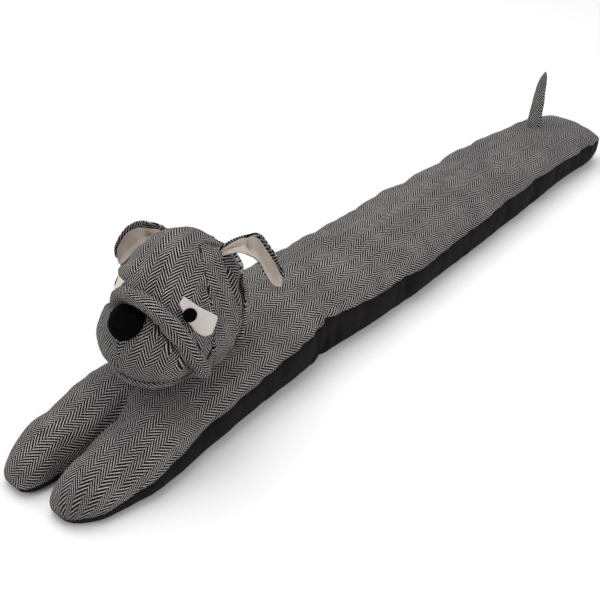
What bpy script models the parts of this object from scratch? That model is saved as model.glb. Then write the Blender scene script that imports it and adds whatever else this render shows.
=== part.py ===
"""Draught excluder: a long filled floor cushion shaped as a dog lying flat.

The cushion is two sewn panels, tweed above and black cotton below, that split in
front into two paws. A stuffed head of tweed panels lies on its front, with folded
lined ears, cloth eyes and a felt nose, and a flat tail stands near the rear end.
X runs from the paws to the tail, Y across, Z up from the floor.
"""

import math

import bpy
import bmesh
from mathutils import Vector

# Driving dimensions, in metres. Distances along the body are from the paw tips.
MIDDLE = 0.450           # the model's origin, as a distance from the paw tips
LENGTH = 0.918           # paw tips to rear seam
CROTCH = 0.080           # where the gap between the paws ends
VALLEY = 0.075           # the crease between the paws fades out over this length
PAW_ROUND = 0.044        # length of a paw's rounded tip
REAR_ROUND = 0.032       # length over which the rear end closes
PAW_TUCK = 0.016         # the base panel turns under the paw tips over this length
REAR_TUCK = 0.010        # and under the rear end over this one
REAR_CORNER = 0.16       # share of its half width the rear seam loses to rounded corners
SIDE_INSET = 0.009       # the base panel draws in this much on its way to the floor
SEAM_GAP = 0.0003        # clearance between two pieces sewn together
PAW_ROWS = 8
BODY_ROWS = 27
REAR_ROWS = 5
TOP_COLUMNS = 8
FLAT_SHARES = (0.0, 0.35, 0.7, 1.0)
CROWN_FULLNESS = 0.85    # under 1, so the upper surface rises steeply from its seam

# The body: distance from the paw tips, near and far edge, seam height, crown height.
BODY = (
    # along, near,   far,   seam,  crown
    (0.000, -0.056, 0.056, 0.012, 0.044),
    (0.040, -0.071, 0.060, 0.014, 0.050),
    (0.080, -0.078, 0.062, 0.022, 0.057),
    (0.115, -0.079, 0.064, 0.030, 0.064),
    (0.160, -0.075, 0.065, 0.037, 0.070),
    (0.230, -0.069, 0.065, 0.041, 0.075),
    (0.290, -0.067, 0.064, 0.047, 0.077),
    (0.342, -0.062, 0.063, 0.053, 0.076),
    (0.390, -0.066, 0.062, 0.047, 0.076),
    (0.470, -0.069, 0.062, 0.042, 0.076),
    (0.560, -0.068, 0.061, 0.040, 0.075),
    (0.650, -0.066, 0.055, 0.042, 0.074),
    (0.750, -0.062, 0.049, 0.043, 0.071),
    (0.850, -0.057, 0.043, 0.038, 0.063),
    (0.918, -0.062, 0.032, 0.034, 0.054),
)
NEAR_TIP = 0.002         # where each paw's tip stands, from the general line of the tips
FAR_TIP = -0.005
NEAR_PAW_INNER = -0.008  # the inner edges of the paws, across
FAR_PAW_INNER = 0.003
CROTCH_ACROSS = -0.003   # the end of the gap between the paws, across
PAW_SPREAD = 0.05        # the paws move apart over this length in front of the crotch
RIDGE_SHARE = 0.4        # how far the middle line follows the two edges
RIDGE_EASE = 0.10        # and the length over which it starts to do so
TIP_FULLNESS = 0.9       # under 1, so a paw is blunter than a half round

# The head stands in its own frame: centre at the origin, looking along -X.
HEAD_CENTRE = (0.191, -0.004, 0.1295)
HEAD_TURN = math.radians(7)
HEAD_RADII = (0.068, 0.057, 0.082)
MUZZLE_CENTRE = (-0.037, 0.0, -0.010)
MUZZLE_RADII = (0.054, 0.058, 0.048)
BACK_CENTRE = (0.008, 0.0, -0.004)
BACK_RADII = (0.066, 0.060, 0.080)
BACK_CUT = 0.036         # the seam round the head lies this far behind its centre
BACK_LEAN = math.radians(14)
CHEEK_CUT = 0.021        # distance of the cheek seams' planes from the centre
CHEEK_TURN = math.radians(37)
BROW_HALF_WIDTH = 0.020  # half the forehead's width where it meets the back seam
ROLL_FAR_ROWS = 4        # the roll's far half ends at this row of its table
ROLL_DRAW_IN = 0.74      # the roll's far half is this much narrower than its near half
ROLL_DRAW_BACK = 0.16    # and is drawn back this share of its reach
CHIN_RADIUS = 0.0065
CHIN_DROP = 0.032        # the lip runs this far below the muzzle's centre
CHIN_REACH = math.radians(75)
NOSE_RADIUS = 0.0186
NOSE_HEIGHT = 0.0090
NOSE_LIFT = math.radians(51)
EYE_THICKNESS = 0.0013
PUPIL_THICKNESS = 0.0012
PUPIL_AT = (52, 28)      # turn and lift from straight ahead, in degrees
PUPIL_SPREAD = math.radians(5.8)
EAR_CLOTH = 0.0018
LINING_CLOTH = 0.0010
LINING_INSET = 0.0022    # the outer cloth shows as a rim this wide round the lining
EAR_ROWS = 12
EAR_COLUMNS = 4
EAR_CUP = 0.14           # how far an ear bows back between its edges, as a share of its width
TAIL_FOOT = 0.833        # the tail's root, from the paw tips
TAIL_RINGS = 7
TAIL_SIDES = 12

# Corners of the near eye, seen from the head's centre, in degrees.
EYE_CORNERS = (
    # turn, lift
    (46, 45),
    (63, 34),
    (80, 19),
    (71, 3),
    (57, 6),
    (47, 24),
)

# The roll of cloth over the muzzle, from the middle down to the near jowl.
ROLL = (
    # x,      y,      z,      radius
    (-0.0620, 0.000, 0.0490, 0.0095),
    (-0.0600, -0.018, 0.0450, 0.0100),
    (-0.0565, -0.034, 0.0340, 0.0105),
    (-0.0530, -0.046, 0.0190, 0.0110),
    (-0.0490, -0.055, -0.0010, 0.0110),
    (-0.0430, -0.0595, -0.0200, 0.0100),
    (-0.0370, -0.0580, -0.0350, 0.0080),
)

# Each ear: share of its length, then a point of its upper edge and of its lower edge.
NEAR_EAR = (
    # share, upper x, y, z,            lower x, y, z
    (0.00, 0.028, -0.027, 0.059, 0.026, -0.034, 0.046),
    (0.15, 0.039, -0.034, 0.066, 0.034, -0.041, 0.056),
    (0.32, 0.049, -0.042, 0.070, 0.038, -0.053, 0.058),
    (0.50, 0.056, -0.053, 0.072, 0.042, -0.065, 0.053),
    (0.75, 0.055, -0.068, 0.061, 0.043, -0.077, 0.047),
    (1.00, 0.053, -0.085, 0.037, 0.050, -0.087, 0.034),
)
FAR_EAR = (
    # share, upper x, y, z,            lower x, y, z
    (0.00, 0.026, 0.026, 0.061, 0.007, 0.031, 0.055),
    (0.15, 0.023, 0.038, 0.066, 0.011, 0.039, 0.052),
    (0.32, 0.018, 0.048, 0.070, 0.010, 0.048, 0.046),
    (0.50, 0.015, 0.059, 0.069, 0.008, 0.056, 0.038),
    (0.72, 0.011, 0.072, 0.056, 0.008, 0.065, 0.027),
    (0.90, 0.007, 0.083, 0.032, 0.008, 0.075, 0.012),
    (1.00, 0.007, 0.084, 0.018, 0.007, 0.081, 0.008),
)

# The tail's rings: height above the floor, lean back, half length and half width.
TAIL = (
    # height, lean,  half_length, half_width
    (0.050, -0.004, 0.0175, 0.0090),
    (0.070, -0.003, 0.0140, 0.0080),
    (0.090, -0.002, 0.0112, 0.0070),
    (0.110, 0.000, 0.0095, 0.0062),
    (0.128, 0.003, 0.0068, 0.0048),
    (0.143, 0.008, 0.0014, 0.0014),
)


def row_value(table, column, along):
    """One column of a table at a distance along it, on a smooth curve through its rows."""
    last = len(table) - 1
    if along <= table[0][0]:
        return table[0][column]
    if along >= table[last][0]:
        return table[last][column]
    row = max(i for i in range(last) if table[i][0] <= along)
    before = table[max(row - 1, 0)]
    start = table[row]
    end = table[row + 1]
    after = table[min(row + 2, last)]
    span = end[0] - start[0]
    share = (along - start[0]) / span
    slope_in = (end[column] - before[column]) / (end[0] - before[0]) * span
    slope_out = (after[column] - start[column]) / (after[0] - start[0]) * span
    square = share * share
    cube = square * share
    return (
        (2 * cube - 3 * square + 1) * start[column]
        + (cube - 2 * square + share) * slope_in
        + (3 * square - 2 * cube) * end[column]
        + (cube - square) * slope_out
    )


def eased(share):
    share = min(max(share, 0.0), 1.0)
    return share * share * (3 - 2 * share)


def rounded(share):
    """Height of a quarter circle, from 0 at its foot to 1 at its top."""
    share = min(max(share, 0.0), 1.0)
    return math.sqrt(1 - (1 - share) ** 2)


def half_section(side, along):
    """What one half of the body measures at a distance from the paw tips."""
    tip = NEAR_TIP if side < 0 else FAR_TIP
    inner_paw = NEAR_PAW_INNER if side < 0 else FAR_PAW_INNER
    outer = row_value(BODY, 1 if side < 0 else 2, along)
    edges = 0.5 * (row_value(BODY, 1, along) + row_value(BODY, 2, along))
    middle = CROTCH_ACROSS + 2 * RIDGE_SHARE * (edges - CROTCH_ACROSS)
    if along < CROTCH:
        apart = eased((CROTCH - along) / PAW_SPREAD)
        inner = CROTCH_ACROSS + (inner_paw - CROTCH_ACROSS) * apart
    else:
        ease = eased((along - CROTCH) / RIDGE_EASE)
        inner = CROTCH_ACROSS + (middle - CROTCH_ACROSS) * ease
    joined = eased((along - CROTCH) / VALLEY)
    close = rounded((along - tip) / PAW_ROUND)
    end = rounded((LENGTH - along) / REAR_ROUND)
    centre = 0.5 * (outer + inner)
    width = close ** TIP_FULLNESS
    outer = centre + (outer - centre) * width
    inner = centre + (inner - centre) * width
    outer = outer - (outer - middle) * REAR_CORNER * (1 - end)
    seam = row_value(BODY, 3, along)
    rise = (row_value(BODY, 4, along) - seam) * close * end
    return outer, inner, seam, rise, joined


def half_stations(side):
    """Distances of the cross-sections, closer together at the crotch and the rear end."""
    tip = NEAR_TIP if side < 0 else FAR_TIP
    front = [
        tip + (CROTCH - tip) * (1 - math.cos(0.5 * math.pi * i / PAW_ROWS))
        for i in range(PAW_ROWS)
    ]
    span = LENGTH - REAR_ROUND - CROTCH
    middle = [CROTCH + span * i / BODY_ROWS for i in range(BODY_ROWS)]
    rear = [
        LENGTH - REAR_ROUND * (1 - math.sin(0.5 * math.pi * i / REAR_ROWS))
        for i in range(REAR_ROWS + 1)
    ]
    return front + middle + rear


def top_angles(joined):
    """Angles along the arch over one half: a full arch on a paw, a quarter behind."""
    last = math.pi * (1 - 0.5 * joined)
    return [last * i / TOP_COLUMNS for i in range(TOP_COLUMNS + 1)]


def top_shares(side, along):
    """How far across its half each column of the upper surface stands."""
    angles = top_angles(half_section(side, along)[4])
    return [(1 - math.cos(angle)) / (1 - math.cos(angles[-1])) for angle in angles]


def top_line(side, along, swell):
    """Points of the crowned upper surface over one half, from its edge inwards."""
    outer, inner, seam, rise, joined = half_section(side, along)
    points = []
    for angle, across in zip(top_angles(joined), top_shares(side, along)):
        up = max(math.sin(angle), 0.0) ** CROWN_FULLNESS
        y = outer + (inner - outer) * across + swell * side * (1 - across)
        points.append(Vector((along - MIDDLE, y, seam + (rise + swell) * up)))
    return points


def seam_line(side, along, shares, drop, swell):
    """Points across the flat surface between the two panels, over one half."""
    outer, inner, seam, _, _ = half_section(side, along)
    return [
        Vector((along - MIDDLE, outer + (inner - outer) * share + swell * side * (1 - share),
                seam - drop))
        for share in shares
    ]


def base_line(side, along):
    """Points of the base panel over one half, down its side and in along the floor."""
    outer, inner, seam, _, joined = half_section(side, along)
    tip = NEAR_TIP if side < 0 else FAR_TIP
    turned_in = min(rounded((along - tip) / PAW_TUCK), rounded((LENGTH - along) / REAR_TUCK))
    top = seam - SEAM_GAP
    depth = top * turned_in
    inset = SIDE_INSET * turned_in * side
    points = []
    for angle in (0, 25, 50, 72, 90):
        sweep = math.radians(angle)
        y = outer - inset * (1 - math.cos(sweep))
        points.append(Vector((along - MIDDLE, y, top - depth * math.sin(sweep))))
    start = outer - inset
    stop = inner + inset * (1 - joined)
    for share in FLAT_SHARES[1:-1]:
        points.append(Vector((along - MIDDLE, start + (stop - start) * share, top - depth)))
    for angle in (90, 60, 30, 0):
        sweep = math.radians(angle)
        free = 1 - joined
        y = inner + inset * free * (1 - math.cos(sweep))
        z = top - depth * (1 - free + free * math.sin(sweep))
        points.append(Vector((along - MIDDLE, y, z)))
    return points


def add_strips(mesh, lines, flip):
    """Faces between neighbouring lines of points."""
    rows = [[mesh.verts.new(point) for point in line] for line in lines]
    for first, second in zip(rows, rows[1:]):
        for i in range(len(first) - 1):
            corners = [first[i], second[i], second[i + 1], first[i + 1]]
            if flip:
                corners.reverse()
            mesh.faces.new(corners)


def finish_object(name, mesh, parts, material):
    bmesh.ops.remove_doubles(mesh, verts=mesh.verts, dist=0.00001)
    bmesh.ops.dissolve_degenerate(mesh, edges=mesh.edges, dist=0.00001)
    bmesh.ops.recalc_face_normals(mesh, faces=mesh.faces)
    if mesh.calc_volume(signed=True) < 0:
        bmesh.ops.reverse_faces(mesh, faces=mesh.faces)
    data = bpy.data.meshes.new(name)
    mesh.to_mesh(data)
    mesh.free()
    data.shade_smooth()
    data.set_sharp_from_angle(angle=math.radians(50))
    made = bpy.data.objects.new(name, data)
    parts.objects.link(made)
    if material is not None:
        data.materials.append(material)
    return made


def build_top(name, swell, parts, material):
    """The tweed half of the cushion: a crowned solid on the flat seam surface."""
    mesh = bmesh.new()
    for side in (-1, 1):
        stations = half_stations(side)
        add_strips(mesh, [top_line(side, along, swell) for along in stations], side < 0)
        add_strips(
            mesh, [seam_line(side, along, top_shares(side, along), 0.0, swell)
                   for along in stations], side > 0
        )
    return finish_object(name, mesh, parts, material)


def build_base(name, parts, material):
    """The black half: seam surface on top, drawn-in sides and a flat underside."""
    mesh = bmesh.new()
    for side in (-1, 1):
        stations = half_stations(side)
        add_strips(mesh, [base_line(side, along) for along in stations], side > 0)
        add_strips(
            mesh, [seam_line(side, along, FLAT_SHARES, SEAM_GAP, 0.0)
                   for along in stations], side < 0
        )
    return finish_object(name, mesh, parts, material)


def ball(name, centre, radii, swell, collection, material):
    """A stuffed ball, or a copy of one swollen to cut a neighbour clear of it."""
    mesh = bmesh.new()
    bmesh.ops.create_uvsphere(mesh, u_segments=28, v_segments=18, radius=1.0)
    for vert in mesh.verts:
        vert.co = Vector([
            middle + share * (radius + swell)
            for middle, share, radius in zip(centre, vert.co, radii)
        ])
    return finish_object(name, mesh, collection, material)


def as_cutter(cutter):
    cutter.hide_render = True
    cutter.display_type = "WIRE"
    return cutter


def boolean(target, cutter, operation="DIFFERENCE"):
    modifier = target.modifiers.new(cutter.name, "BOOLEAN")
    modifier.operation = operation
    modifier.solver = "EXACT"
    modifier.object = cutter
    return modifier


def half_space(name, guides, normal, distance):
    """A big block with one face on a plane, to cut a stuffed form along a flat seam."""
    mesh = bmesh.new()
    bmesh.ops.create_cube(mesh, size=0.4)
    made = finish_object(name, mesh, guides, None)
    normal = Vector(normal).normalized()
    made.location = normal * (distance + 0.2)
    made.rotation_euler = normal.to_track_quat("X", "Z").to_euler()
    return as_cutter(made)


def seam_blocks(name, guides, normal, distance):
    """Two blocks that share a seam plane, a sewing gap apart."""
    keep = half_space(name + "_keep", guides, normal, distance + 0.5 * SEAM_GAP)
    cut = half_space(name + "_cut", guides, normal, distance - 0.5 * SEAM_GAP)
    return keep, cut


def cloth_material(name, colour, roughness):
    material = bpy.data.materials.new(name)
    material.use_nodes = True
    shader = material.node_tree.nodes["Principled BSDF"]
    shader.inputs["Base Color"].default_value = (*colour, 1.0)
    shader.inputs["Roughness"].default_value = roughness
    shader.inputs["Metallic"].default_value = 0.0
    return material


def tube(name, points, radii, collection, material):
    """A soft rolled strip along a curve, made a mesh with welded end caps."""
    curve = bpy.data.curves.new(name, "CURVE")
    curve.dimensions = "3D"
    curve.bevel_depth = 1.0
    curve.bevel_resolution = 3
    curve.use_fill_caps = True
    spline = curve.splines.new("POLY")
    spline.points.add(len(points) - 1)
    for i, point in enumerate(points):
        spline.points[i].co = (*point, 1.0)
        spline.points[i].radius = radii[i]
    guide = bpy.data.objects.new(name + "_line", curve)
    collection.objects.link(guide)
    bpy.context.view_layer.update()
    data = bpy.data.meshes.new_from_object(
        guide.evaluated_get(bpy.context.evaluated_depsgraph_get())
    )
    bpy.data.objects.remove(guide)
    mesh = bmesh.new()
    mesh.from_mesh(data)
    return finish_object(name, mesh, collection, material)


def head_direction(turn, lift):
    """A direction from the head's centre; a turn of 90 degrees looks to the near side."""
    return Vector((
        -math.cos(turn) * math.cos(lift),
        -math.sin(turn) * math.cos(lift),
        math.sin(lift),
    ))


def ray_cone(name, directions, guides):
    """A cone of rays from the head's centre through an outline, to cut a patch with."""
    mesh = bmesh.new()
    inner = [mesh.verts.new(0.02 * ray) for ray in directions]
    outer = [mesh.verts.new(0.16 * ray) for ray in directions]
    mesh.faces.new(inner)
    mesh.faces.new(list(reversed(outer)))
    count = len(directions)
    for i in range(count):
        after = (i + 1) % count
        mesh.faces.new((inner[i], outer[i], outer[after], inner[after]))
    return as_cutter(finish_object(name, mesh, guides, None))


def eye_outline(side):
    """The eye's outline with rounded corners, as directions from the head's centre."""
    corners = [head_direction(math.radians(side * turn), math.radians(lift))
               for turn, lift in EYE_CORNERS]
    count = len(corners)
    outline = []
    for i, corner in enumerate(corners):
        before = corners[i - 1]
        after = corners[(i + 1) % count]
        outline.append((0.85 * corner + 0.15 * before).normalized())
        outline.append((0.85 * corner + 0.15 * after).normalized())
    return outline


def pupil_outline(side):
    axis = head_direction(math.radians(side * PUPIL_AT[0]), math.radians(PUPIL_AT[1]))
    across = axis.cross(Vector((0, 0, 1))).normalized()
    up = across.cross(axis)
    spread = math.tan(PUPIL_SPREAD)
    return [
        (axis + spread * (math.cos(turn) * across + math.sin(turn) * up)).normalized()
        for turn in (2 * math.pi * i / 20 for i in range(20))
    ]


def roll_line(extra):
    """The roll's centre line and radii; its far half is drawn in closer to the head."""
    near = [Vector(row[:3]) for row in ROLL]
    far = [Vector((point.x - ROLL_DRAW_BACK * point.y, -ROLL_DRAW_IN * point.y, point.z))
           for point in near[ROLL_FAR_ROWS:0:-1]]
    radii = [row[3] + extra for row in ROLL]
    return far + near, radii[ROLL_FAR_ROWS:0:-1] + radii


def chin_line():
    """The lip's centre line: round the muzzle's underside at one height."""
    share = math.sqrt(1 - (CHIN_DROP / MUZZLE_RADII[2]) ** 2)
    points = []
    for i in range(13):
        turn = CHIN_REACH * (i / 6 - 1)
        points.append(Vector((
            MUZZLE_CENTRE[0] - share * MUZZLE_RADII[0] * math.cos(turn),
            share * MUZZLE_RADII[1] * math.sin(turn),
            MUZZLE_CENTRE[2] - CHIN_DROP,
        )))
    radii = [CHIN_RADIUS * (1 - 0.45 * abs(i / 6 - 1) ** 3) for i in range(13)]
    return points, radii


def ear_sheet(name, table, inset, lift, thickness, parts, material):
    """One cloth of an ear: a bowed sheet between its upper and its lower edge.

    lift moves the sheet off the ear's middle face, towards the side that looks ahead.
    """
    rows = []
    for i in range(EAR_ROWS + 1):
        share = i / EAR_ROWS
        edge = [row_value(table, column, share) for column in range(1, 7)]
        upper = Vector(edge[:3])
        lower = Vector(edge[3:])
        span = upper - lower
        trim = min(inset / span.length, 0.4) if inset else 0.0
        upper, lower = upper - trim * span, lower + trim * span
        rows.append((upper, lower))
    if inset:
        last = rows[-2]
        tip = 0.5 * (rows[-1][0] + rows[-1][1])
        back = (0.5 * (last[0] + last[1]) - tip).normalized() * inset
        rows[-1] = (rows[-1][0] + back, rows[-1][1] + back)
    lengthwise = (rows[-1][0] - rows[0][0]).normalized()
    mesh = bmesh.new()
    lines = []
    for upper, lower in rows:
        face = (upper - lower).cross(lengthwise).normalized()
        if face.x > 0:
            face = -face
        line = []
        for j in range(EAR_COLUMNS + 1):
            share = j / EAR_COLUMNS
            bow = EAR_CUP * 4 * share * (1 - share) * (upper - lower).length
            line.append(lower.lerp(upper, share) + face * (lift - bow))
        lines.append(line)
    add_strips(mesh, lines, False)
    mesh.faces.ensure_lookup_table()
    mesh.normal_update()
    if mesh.faces[len(mesh.faces) // 2].normal.x > 0:
        bmesh.ops.reverse_faces(mesh, faces=mesh.faces)
    data = bpy.data.meshes.new(name)
    mesh.to_mesh(data)
    mesh.free()
    data.materials.append(material)
    made = bpy.data.objects.new(name, data)
    parts.objects.link(made)
    cloth = made.modifiers.new("Cloth", "SOLIDIFY")
    cloth.thickness = abs(thickness)
    cloth.offset = 1.0 if thickness > 0 else -1.0
    return made


def build_tail(name, parts, material):
    """A flat pointed cone, leaning back at its tip."""
    mesh = bmesh.new()
    lines = []
    for i in range(TAIL_RINGS + 1):
        height = TAIL[0][0] + (TAIL[-1][0] - TAIL[0][0]) * i / TAIL_RINGS
        lean, half_length, half_width = (row_value(TAIL, column, height)
                                         for column in (1, 2, 3))
        lines.append([
            Vector((TAIL_FOOT + lean + half_length * math.cos(turn) - MIDDLE,
                    half_width * math.sin(turn), height))
            for turn in (2 * math.pi * j / TAIL_SIDES for j in range(TAIL_SIDES + 1))
        ])
    add_strips(mesh, lines, False)
    bmesh.ops.remove_doubles(mesh, verts=mesh.verts, dist=0.00001)
    bmesh.ops.holes_fill(mesh, edges=[e for e in mesh.edges if e.is_boundary], sides=0)
    return finish_object(name, mesh, parts, material)


def main():
    for old in list(bpy.data.objects):
        bpy.data.objects.remove(old)
    parts = bpy.data.collections.new("draught_excluder")
    guides = bpy.data.collections.new("cutters")
    bpy.context.scene.collection.children.link(parts)
    bpy.context.scene.collection.children.link(guides)

    tweed = cloth_material("tweed", (0.20, 0.19, 0.19), 0.95)
    cotton = cloth_material("black_cotton", (0.012, 0.010, 0.013), 0.9)
    cream = cloth_material("cream_cotton", (0.72, 0.65, 0.55), 0.9)
    eye_cloth = cloth_material("eye_cloth", (0.78, 0.70, 0.66), 0.9)
    felt = cloth_material("black_felt", (0.006, 0.006, 0.007), 1.0)

    build_top("body_top", 0.0, parts, tweed)
    build_base("body_base", parts, cotton)
    bed = as_cutter(build_top("bed", SEAM_GAP, guides, None))
    boolean(build_tail("tail", parts, tweed), bed)

    # Everything on the head is made in the head's frame and turned by its parent.
    head = bpy.data.objects.new("head_frame", None)
    head.location = (HEAD_CENTRE[0] - MIDDLE, HEAD_CENTRE[1], HEAD_CENTRE[2])
    head.rotation_euler = (0, 0, HEAD_TURN)
    parts.objects.link(head)
    before = set(bpy.data.objects)

    # Blocks and swollen copies that part the stuffed forms along their seams.
    back_keep, back_cut = seam_blocks(
        "back", guides, (math.cos(BACK_LEAN), 0, -math.sin(BACK_LEAN)), BACK_CUT)
    cheeks = {}
    for side_name, side in (("near", -1), ("far", 1)):
        normal = (math.cos(CHEEK_TURN), side * math.sin(CHEEK_TURN), 0)
        blocks = seam_blocks("cheek_" + side_name, guides, normal, CHEEK_CUT)
        limits = seam_blocks("brow_" + side_name, guides, (0, side, 0), BROW_HALF_WIDTH)
        for block, limit in zip(blocks, limits):
            boolean(block, limit, "INTERSECT")
        cheeks[side_name] = blocks
    head_cut = as_cutter(ball("head_cut", (0, 0, 0), HEAD_RADII, SEAM_GAP, guides, None))
    back_ball = as_cutter(ball("back_ball", BACK_CENTRE, BACK_RADII, SEAM_GAP, guides, None))
    muzzle_cut = as_cutter(
        ball("muzzle_cut", MUZZLE_CENTRE, MUZZLE_RADII, SEAM_GAP, guides, None))

    # The head: one stuffed ball sewn from a back, a forehead and two cheeks.
    back = ball("head_back", BACK_CENTRE, BACK_RADII, 0.0, parts, tweed)
    boolean(back, back_keep, "INTERSECT")
    boolean(back, bed)
    forehead = ball("forehead", (0, 0, 0), HEAD_RADII, 0.0, parts, tweed)
    for cutter in (back_cut, cheeks["near"][1], cheeks["far"][1], muzzle_cut, bed):
        boolean(forehead, cutter)
    for side_name in ("near", "far"):
        cheek = ball("cheek_" + side_name, (0, 0, 0), HEAD_RADII, 0.0, parts, tweed)
        boolean(cheek, cheeks[side_name][0], "INTERSECT")
        for cutter in (back_cut, muzzle_cut, bed):
            boolean(cheek, cutter)

    # The muzzle: two halves with a seam between, a roll over it and a lip below.
    for side_name, side in (("near", -1), ("far", 1)):
        half = half_space("muzzle_side_" + side_name, guides, (0, side, 0), 0.5 * SEAM_GAP)
        muzzle = ball("muzzle_" + side_name, MUZZLE_CENTRE, MUZZLE_RADII, 0.0, parts, tweed)
        boolean(muzzle, half, "INTERSECT")
        boolean(muzzle, bed)
    roll = tube("muzzle_roll", *roll_line(0.0), parts, tweed)
    for cutter in (head_cut, muzzle_cut, bed):
        boolean(roll, cutter)
    roll_cut = as_cutter(tube("roll_cut", *roll_line(SEAM_GAP), guides, None))
    lip = tube("lip", *chin_line(), parts, tweed)
    for cutter in (muzzle_cut, head_cut, roll_cut, bed):
        boolean(lip, cutter)

    # The nose: a felt dome on the muzzle's upper front.
    nose_at = Vector((
        MUZZLE_CENTRE[0] - MUZZLE_RADII[0] * math.cos(NOSE_LIFT), 0,
        MUZZLE_CENTRE[2] + MUZZLE_RADII[2] * math.sin(NOSE_LIFT),
    ))
    nose_axis = Vector((-math.cos(NOSE_LIFT) / MUZZLE_RADII[0], 0,
                        math.sin(NOSE_LIFT) / MUZZLE_RADII[2])).normalized()
    mesh = bmesh.new()
    bmesh.ops.create_uvsphere(mesh, u_segments=24, v_segments=12, radius=1.0)
    turn = nose_axis.to_track_quat("Z", "Y").to_matrix()
    for vert in mesh.verts:
        flat = Vector((vert.co.x * NOSE_RADIUS, vert.co.y * NOSE_RADIUS,
                       vert.co.z * NOSE_HEIGHT))
        vert.co = nose_at + turn @ flat
    nose = finish_object("nose", mesh, parts, felt)
    boolean(nose, head_cut)
    boolean(nose, muzzle_cut)
    boolean(nose, roll_cut)

    # The eyes: cloth patches on the head with a felt pupil on each.
    eye_top = as_cutter(ball("eye_top", (0, 0, 0), HEAD_RADII, SEAM_GAP + EYE_THICKNESS,
                             guides, None))
    pupil_foot = as_cutter(ball("pupil_foot", (0, 0, 0), HEAD_RADII,
                                2 * SEAM_GAP + EYE_THICKNESS, guides, None))
    pupil_top = 2 * SEAM_GAP + EYE_THICKNESS + PUPIL_THICKNESS
    for side_name, side in (("near", 1), ("far", -1)):
        eye = ball("eye_" + side_name, (0, 0, 0), HEAD_RADII, SEAM_GAP + EYE_THICKNESS,
                   parts, eye_cloth)
        boolean(eye, ray_cone("eye_cone_" + side_name, eye_outline(side), guides), "INTERSECT")
        for cutter in (head_cut, muzzle_cut, roll_cut):
            boolean(eye, cutter)
        pupil = ball("pupil_" + side_name, (0, 0, 0), HEAD_RADII, pupil_top, parts, felt)
        boolean(pupil, ray_cone("pupil_cone_" + side_name, pupil_outline(side), guides),
                "INTERSECT")
        for cutter in (pupil_foot, muzzle_cut, roll_cut):
            boolean(pupil, cutter)

    # The ears: a tweed cloth behind and a cream lining in front, sewn to the head.
    for side_name, table in (("near", NEAR_EAR), ("far", FAR_EAR)):
        outer = ear_sheet("ear_" + side_name, table, 0.0, 0.0, -EAR_CLOTH, parts, tweed)
        lining = ear_sheet("ear_lining_" + side_name, table, LINING_INSET, SEAM_GAP,
                           LINING_CLOTH, parts, cream)
        for cloth in (outer, lining):
            boolean(cloth, head_cut)
            boolean(cloth, back_ball)

    for made in set(bpy.data.objects) - before:
        made.parent = head
    bpy.context.view_layer.update()


main()
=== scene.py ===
"""Draught excluder: a long stuffed dog in herringbone tweed and black cotton.

It lies along X with its paws towards -X, and its head rests on its front. The pieces
are made in the order in which the real one is put together: cushion, tail, head,
muzzle, nose, eyes, ears, and then the stitching and loose fibres that show on them.
"""

import math

import bmesh
import bpy
import numpy as np
from mathutils import Matrix, Vector, noise
from mathutils.bvhtree import BVHTree


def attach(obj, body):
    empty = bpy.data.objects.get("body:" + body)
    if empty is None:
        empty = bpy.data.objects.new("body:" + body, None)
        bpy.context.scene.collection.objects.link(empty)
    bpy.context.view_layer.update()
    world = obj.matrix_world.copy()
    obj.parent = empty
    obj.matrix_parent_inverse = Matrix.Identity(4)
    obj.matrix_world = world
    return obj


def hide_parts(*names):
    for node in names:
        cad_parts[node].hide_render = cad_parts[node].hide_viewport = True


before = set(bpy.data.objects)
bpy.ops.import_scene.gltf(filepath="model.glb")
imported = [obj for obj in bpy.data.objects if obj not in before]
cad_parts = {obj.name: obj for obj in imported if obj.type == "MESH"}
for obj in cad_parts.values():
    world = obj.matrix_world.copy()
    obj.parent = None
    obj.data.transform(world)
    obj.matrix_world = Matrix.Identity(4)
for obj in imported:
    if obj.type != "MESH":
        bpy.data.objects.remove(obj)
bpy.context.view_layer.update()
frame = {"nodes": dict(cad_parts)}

scene = bpy.context.scene
nodes = frame["nodes"]

# ---------------------------------------------------------------------------
# The studio: a plain pale floor that runs out of sight, a broad soft light above
# and two weaker ones, seen from above and in front of the near paw.
# ---------------------------------------------------------------------------
VIEW_FROM = Vector((-0.7759, -0.6444, 0.7731))
VIEW_ALONG = Vector((0.577, 0.537, -0.616))
VIEW_LENS = 64.2
PALE = (0.92, 0.92, 0.92, 1.0)
SURROUND = 0.50
FLOOR = 6
LIGHTS = (
    # name,        from,                power, size
    ("soft_top",   (0.10, 0.50, 1.80), 25.0, 1.60),
    ("soft_left",  (-1.70, 0.40, 1.10), 7.0, 1.10),
    ("soft_right", (0.30, -1.70, 1.00), 10.0, 1.20),
)

scene.view_settings.view_transform = "Standard"

camera = bpy.data.objects.new("camera", bpy.data.cameras.new("camera"))
camera.location = VIEW_FROM
camera.rotation_euler = VIEW_ALONG.to_track_quat("-Z", "Y").to_euler()
camera.data.lens = VIEW_LENS
camera.data.clip_start = 0.05
scene.collection.objects.link(camera)
scene.camera = camera

for name, place, power, size in LIGHTS:
    lamp = bpy.data.lights.new(name, "AREA")
    lamp.energy = power
    lamp.size = size
    holder = bpy.data.objects.new(name, lamp)
    holder.location = place
    holder.rotation_euler = (-Vector(place)).to_track_quat("-Z", "Y").to_euler()
    scene.collection.objects.link(holder)

surround = bpy.data.worlds.new("surround")
surround.use_nodes = True
surround.node_tree.nodes["Background"].inputs["Color"].default_value = (1.0, 1.0, 1.0, 1.0)
surround.node_tree.nodes["Background"].inputs["Strength"].default_value = SURROUND
scene.world = surround

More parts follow.
